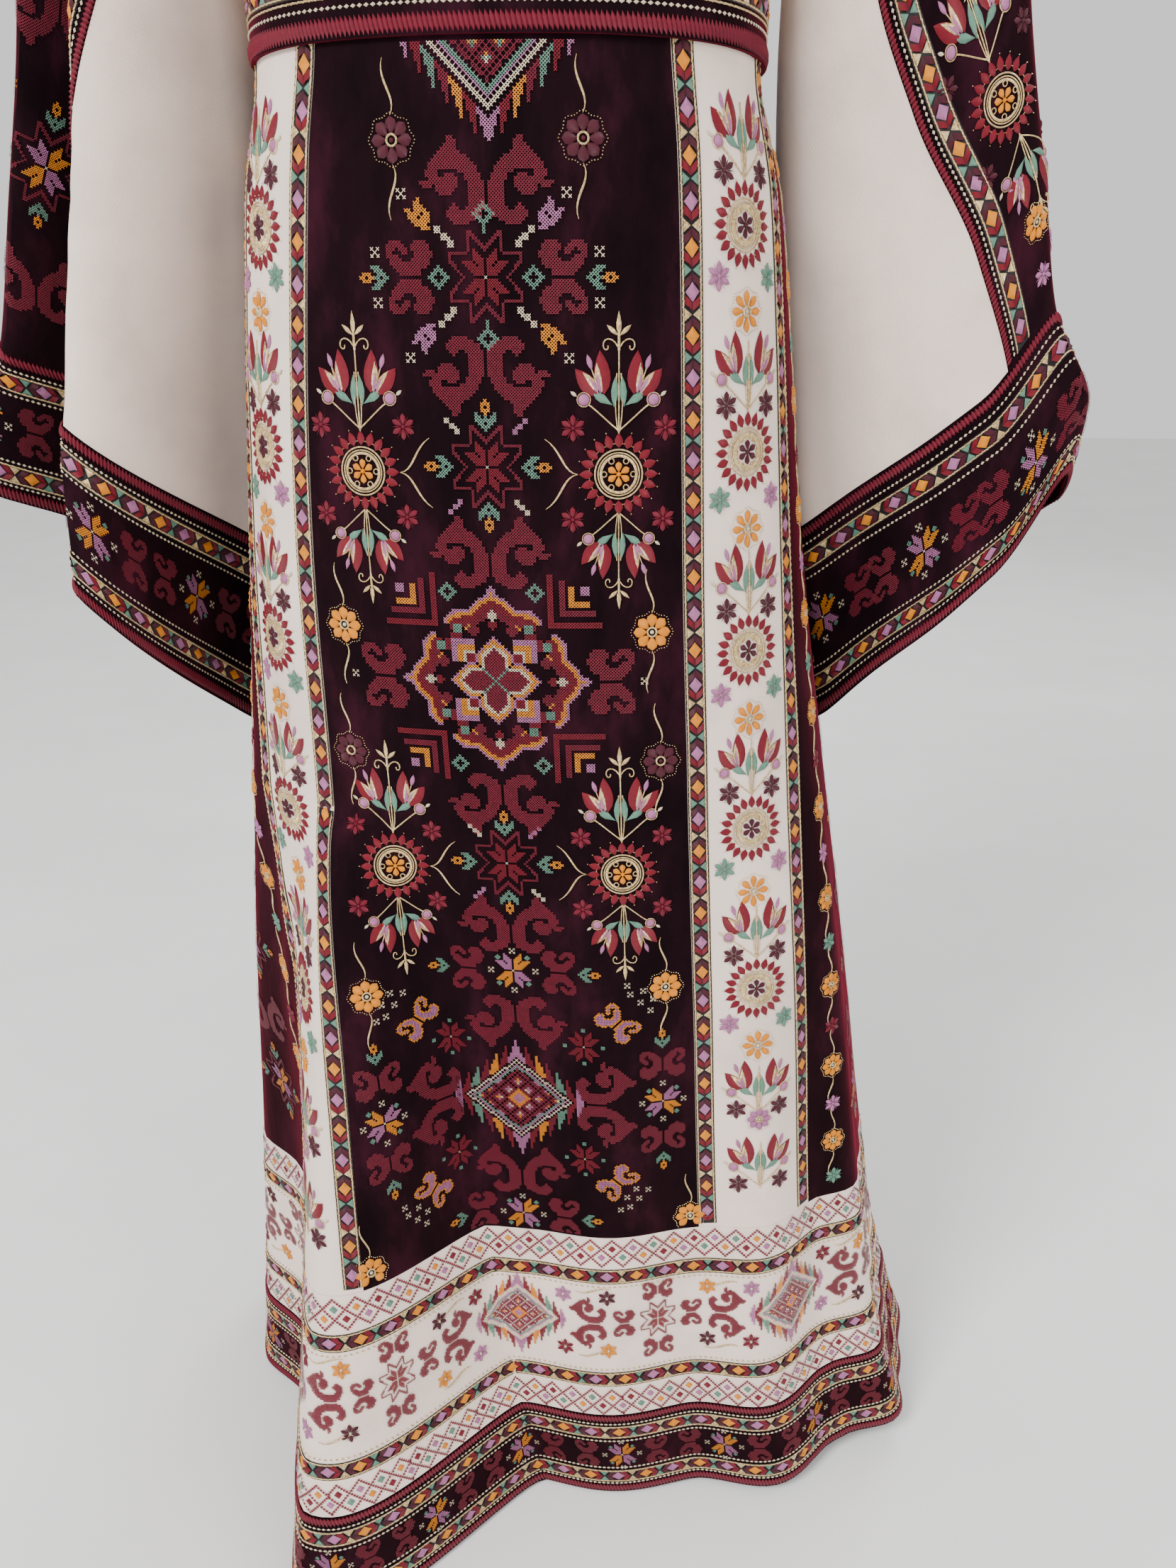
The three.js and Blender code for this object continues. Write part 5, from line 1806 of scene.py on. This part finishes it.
class THOBE_OT_cuffs(bpy.types.Operator):
    """Edgings, braids and flowers round the cuffs and down the sleeve panels"""

    bl_idname = "thobe.cuffs"
    bl_label = "Sleeve embroidery"

    def execute(self, context):
        for side, word in ((1, "left"), (-1, "right")):
            arm = ARMS[side]
            thread = Thread(arm, SLEEVE_LIFT)
            for down, width in CUFF_EDGINGS:
                edging(thread, *cuff_ring(arm, down), width)
            for down in CUFF_BEADS:
                beads(thread, *cuff_ring(arm, down))
            for down in CUFF_BRAIDS:
                braid(thread, *cuff_ring(arm, down))
            flowers = moved(band_flower(1.55), turn=math.pi / 2)
            thread.follow(flowers, *cuff_ring(arm, CUFF_FLOWERS), CUFF_REPEAT)
            thread.make(f"cuff_embroidery_{word}")
            thread = Thread(arm, SLEEVE_LIFT)
            v = np.linspace(0.06, CUFF - 0.04, 120)
            for line, way in ((0 * v, -1), (arm.around(-PANEL_TURN, v), 1)):
                edging(thread, line + way * 2.5, v, 5.0)
                beads(thread, line + way * 7.0, v)
                braid(thread, line + way * 15.5, v)
            if side > 0:
                self.suns(thread, arm)
            else:
                self.scrolls(thread)
            thread.make(f"sleeve_embroidery_{word}")
        return {"FINISHED"}

    def suns(self, thread, arm):
        """Suns with their sprays in two columns, one by each seam, and single flowers below them."""
        medal = gathered(sun("y", 1.6) + spray(True) + moved(spray(True), turn=math.pi))
        mirrored = arm.around(-PANEL_TURN, SLEEVE_SUNS) - SLEEVE_SUN_COLUMN
        for line in (SLEEVE_SUN_COLUMN, mirrored):
            thread.lay(medal, line, SLEEVE_SUNS, size=0.92)
            for dx, dv in AROUND:
                thread.lay(small_flower("p", 6.4), line + dx * 27, SLEEVE_SUNS + dv)
        for key, line, place in SLEEVE_BLOOMS:
            thread.lay(big_flower(key), line, place, size=0.8)
        for line, place in SLEEVE_SMALL:
            thread.lay(small_flower("l", 6.2), line, place)

    def scrolls(self, thread):
        """Scroll pairs and stars by turns in two columns."""
        pair = gathered(scroll_pair(1.6))
        flower = gathered(star(1.5, "ylyl", "b", "c") + round_four(crosses(BUD, 1.6), 29.0))
        steps = gathered(crosses(CROSSLET, 1.5) + crosses(recolour(CROSSLET, "y"), 1.5, 9, 7))
        for column, rows in ((-78.0, SLEEVE_SCROLLS), (-146.0, SLEEVE_SCROLLS[2:])):
            for i, place in enumerate(rows):
                if i % 2:
                    thread.lay(flower, column, place)
                    for dx, dv in AROUND:
                        thread.lay(steps, column + dx * 34, place + dv)
                else:
                    thread.lay(pair, column, place, np.pi * (i // 2 % 2))


class THOBE_OT_sides(bpy.types.Operator):
    """Flower columns and scrolls on the velvet side panels"""

    bl_idname = "thobe.sides"
    bl_label = "Side embroidery"

    def execute(self, context):
        thread = Thread(BODY, keep=lambda z: above_border(z) & off_belt(z))
        yellow = gathered(on_tendrils(big_flower("y")))
        small = [gathered(small_flower(key, 6.6)) for key in "lmb"]
        pair = gathered(scroll_pair(1.6))
        flower = gathered(star(1.4, "ylyl", "b", "c") + round_four(crosses(BUD, 1.5), 26.0))
        for side in (1, -1):
            for i, z in enumerate(SIDE_BLOOMS):
                at = side * (outer_seam(side, z) + 24)
                if i % 2 == 0:
                    thread.lay(yellow, at, z, size=0.8)
                else:
                    thread.lay(small[i // 2 % 3], at, z)
            for i, z in enumerate(SIDE_SCROLLS):
                at = side * (outer_seam(side, z) + 78)
                if i % 2:
                    thread.lay(flower, at, z)
                else:
                    thread.lay(pair, at, z, np.pi * (i // 2 % 2))
        thread.make("side_embroidery")
        return {"FINISHED"}


class THOBE_OT_waist(bpy.types.Operator):
    """Ribbed edgings, beads and braids round the belt"""

    bl_idname = "thobe.waist"
    bl_label = "Belt embroidery"

    def execute(self, context):
        thread = Thread(BODY, BELT_LIFT)
        for z in BELT_EDGINGS:
            edging(thread, *hem_path(z), 10.0)
        for z in BELT_BEADS:
            beads(thread, *hem_path(z), "c", 3.8, 1.1)
        for z in BELT_ROPES:
            thread.follow(ROPE, *hem_path(z), ROPE_STEP)
        for z in BELT_BRAIDS:
            braid(thread, *hem_path(z))
        for z in BELT_YELLOW_BEADS:
            beads(thread, *hem_path(z), "y", 5.0, 1.4)
        beads(thread, *hem_path(BELT_MINT_BEADS), "m", 5.0, 1.2)
        thread.make("belt_embroidery")
        return {"FINISHED"}


CAMERA_LENS = 26.69
CAMERA_PLACE = (0.1183, -0.8128, -0.585)
CAMERA_TURN = (math.radians(68), 0, math.radians(5))
SKY_STRENGTH = 0.95
# name, place, target, power in watts, side in metres
LIGHTS = (
    ("key", (-1.6, -2.4, 1.6), (0.1, 0, -0.9), 165.0, 1.2),
    ("fill", (2.4, -1.8, 0.8), (0.1, 0, -0.9), 45.0, 2.0),
    ("rim", (1.2, 2.6, 1.4), (0, 0, -0.8), 40.0, 1.6),
)


class THOBE_OT_stage(bpy.types.Operator):
    """Floor, studio light and the camera at the photograph's place"""

    bl_idname = "thobe.stage"
    bl_label = "Stage"

    def execute(self, context):
        scene = context.scene
        colours, sizes = scene.thobe_colours, scene.thobe_sizes
        level = float(CAD_BOX[0][2]) - sizes.floor_drop
        floor_sheet(level, colours)
        world = bpy.data.worlds.new("studio")
        world.use_nodes = True
        sky = world.node_tree.nodes["Background"]
        sky.inputs["Color"].default_value = grey(1.0)
        sky.inputs["Strength"].default_value = SKY_STRENGTH
        scene.world = world
        for light in LIGHTS:
            area_light(*light)
        eye = bpy.data.cameras.new("camera")
        eye.lens = CAMERA_LENS
        eye.sensor_width = 36.0
        camera = bpy.data.objects.new("camera", eye)
        camera.location = CAMERA_PLACE
        camera.rotation_euler = CAMERA_TURN
        scene.collection.objects.link(camera)
        scene.camera = camera
        return {"FINISHED"}


def area_light(name, place, target, power, size):
    """Square soft light turned from its place to its target."""
    lamp = bpy.data.lights.new(name, "AREA")
    lamp.energy = power
    lamp.size = size
    light = bpy.data.objects.new(name, lamp)
    light.location = place
    away = mathutils.Vector(place) - mathutils.Vector(target)
    light.rotation_euler = away.to_track_quat("Z", "Y").to_euler()
    bpy.context.scene.collection.objects.link(light)


def floor_sheet(level, colours):
    """Wide square of pale floor."""
    corners = np.array([[-9, -9], [9, -9], [9, 9], [-9, 9]], float)
    points = np.column_stack([corners, np.full(4, level)]) / MM
    mesh = fill_mesh("floor", points, np.array([[0, 1, 2, 3]]), smooth=False)
    look = Finish("floor", Roughness=0.85)
    stops = [(0.3, rgba(colours.floor, 0.97)), (0.7, rgba(colours.floor))]
    look.colour(look.ramp(look.noise(look.place, 3.0), stops))
    mesh.materials.append(look.material)
    floor = bpy.data.objects.new("floor", mesh)
    bpy.context.scene.collection.objects.link(floor)


class THOBE_PT_panel(bpy.types.Panel):
    """Sizes, colours and steps of the thobe"""

    bl_idname = "THOBE_PT_panel"
    bl_label = "Thobe"
    bl_space_type = "VIEW_3D"
    bl_region_type = "UI"
    bl_category = "Thobe"

    def draw(self, context):
        for group in (context.scene.thobe_sizes, context.scene.thobe_colours):
            for key in group.__annotations__:
                self.layout.prop(group, key)
        for step in STEPS:
            self.layout.operator(step.bl_idname)


STEPS = (
    THOBE_OT_body,
    THOBE_OT_hem,
    THOBE_OT_sleeves,
    THOBE_OT_belt,
    THOBE_OT_braids,
    THOBE_OT_front,
    THOBE_OT_strips,
    THOBE_OT_border,
    THOBE_OT_cuffs,
    THOBE_OT_sides,
    THOBE_OT_waist,
    THOBE_OT_stage,
)
CLASSES = (ThobeColours, ThobeSizes, *STEPS, THOBE_PT_panel)


def register():
    """Adds the classes and their settings to Blender."""
    for kind in CLASSES:
        bpy.utils.register_class(kind)
    bpy.types.Scene.thobe_colours = PointerProperty(type=ThobeColours)
    bpy.types.Scene.thobe_sizes = PointerProperty(type=ThobeSizes)


def unregister():
    """Takes them out again."""
    del bpy.types.Scene.thobe_sizes
    del bpy.types.Scene.thobe_colours
    for kind in reversed(CLASSES):
        bpy.utils.unregister_class(kind)


def main():
    """Makes every piece in order."""
    register()
    for step in STEPS:
        word = step.bl_idname.split(".")[1]
        getattr(bpy.ops.thobe, word)()
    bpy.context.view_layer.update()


if __name__ == "__main__":
    main()
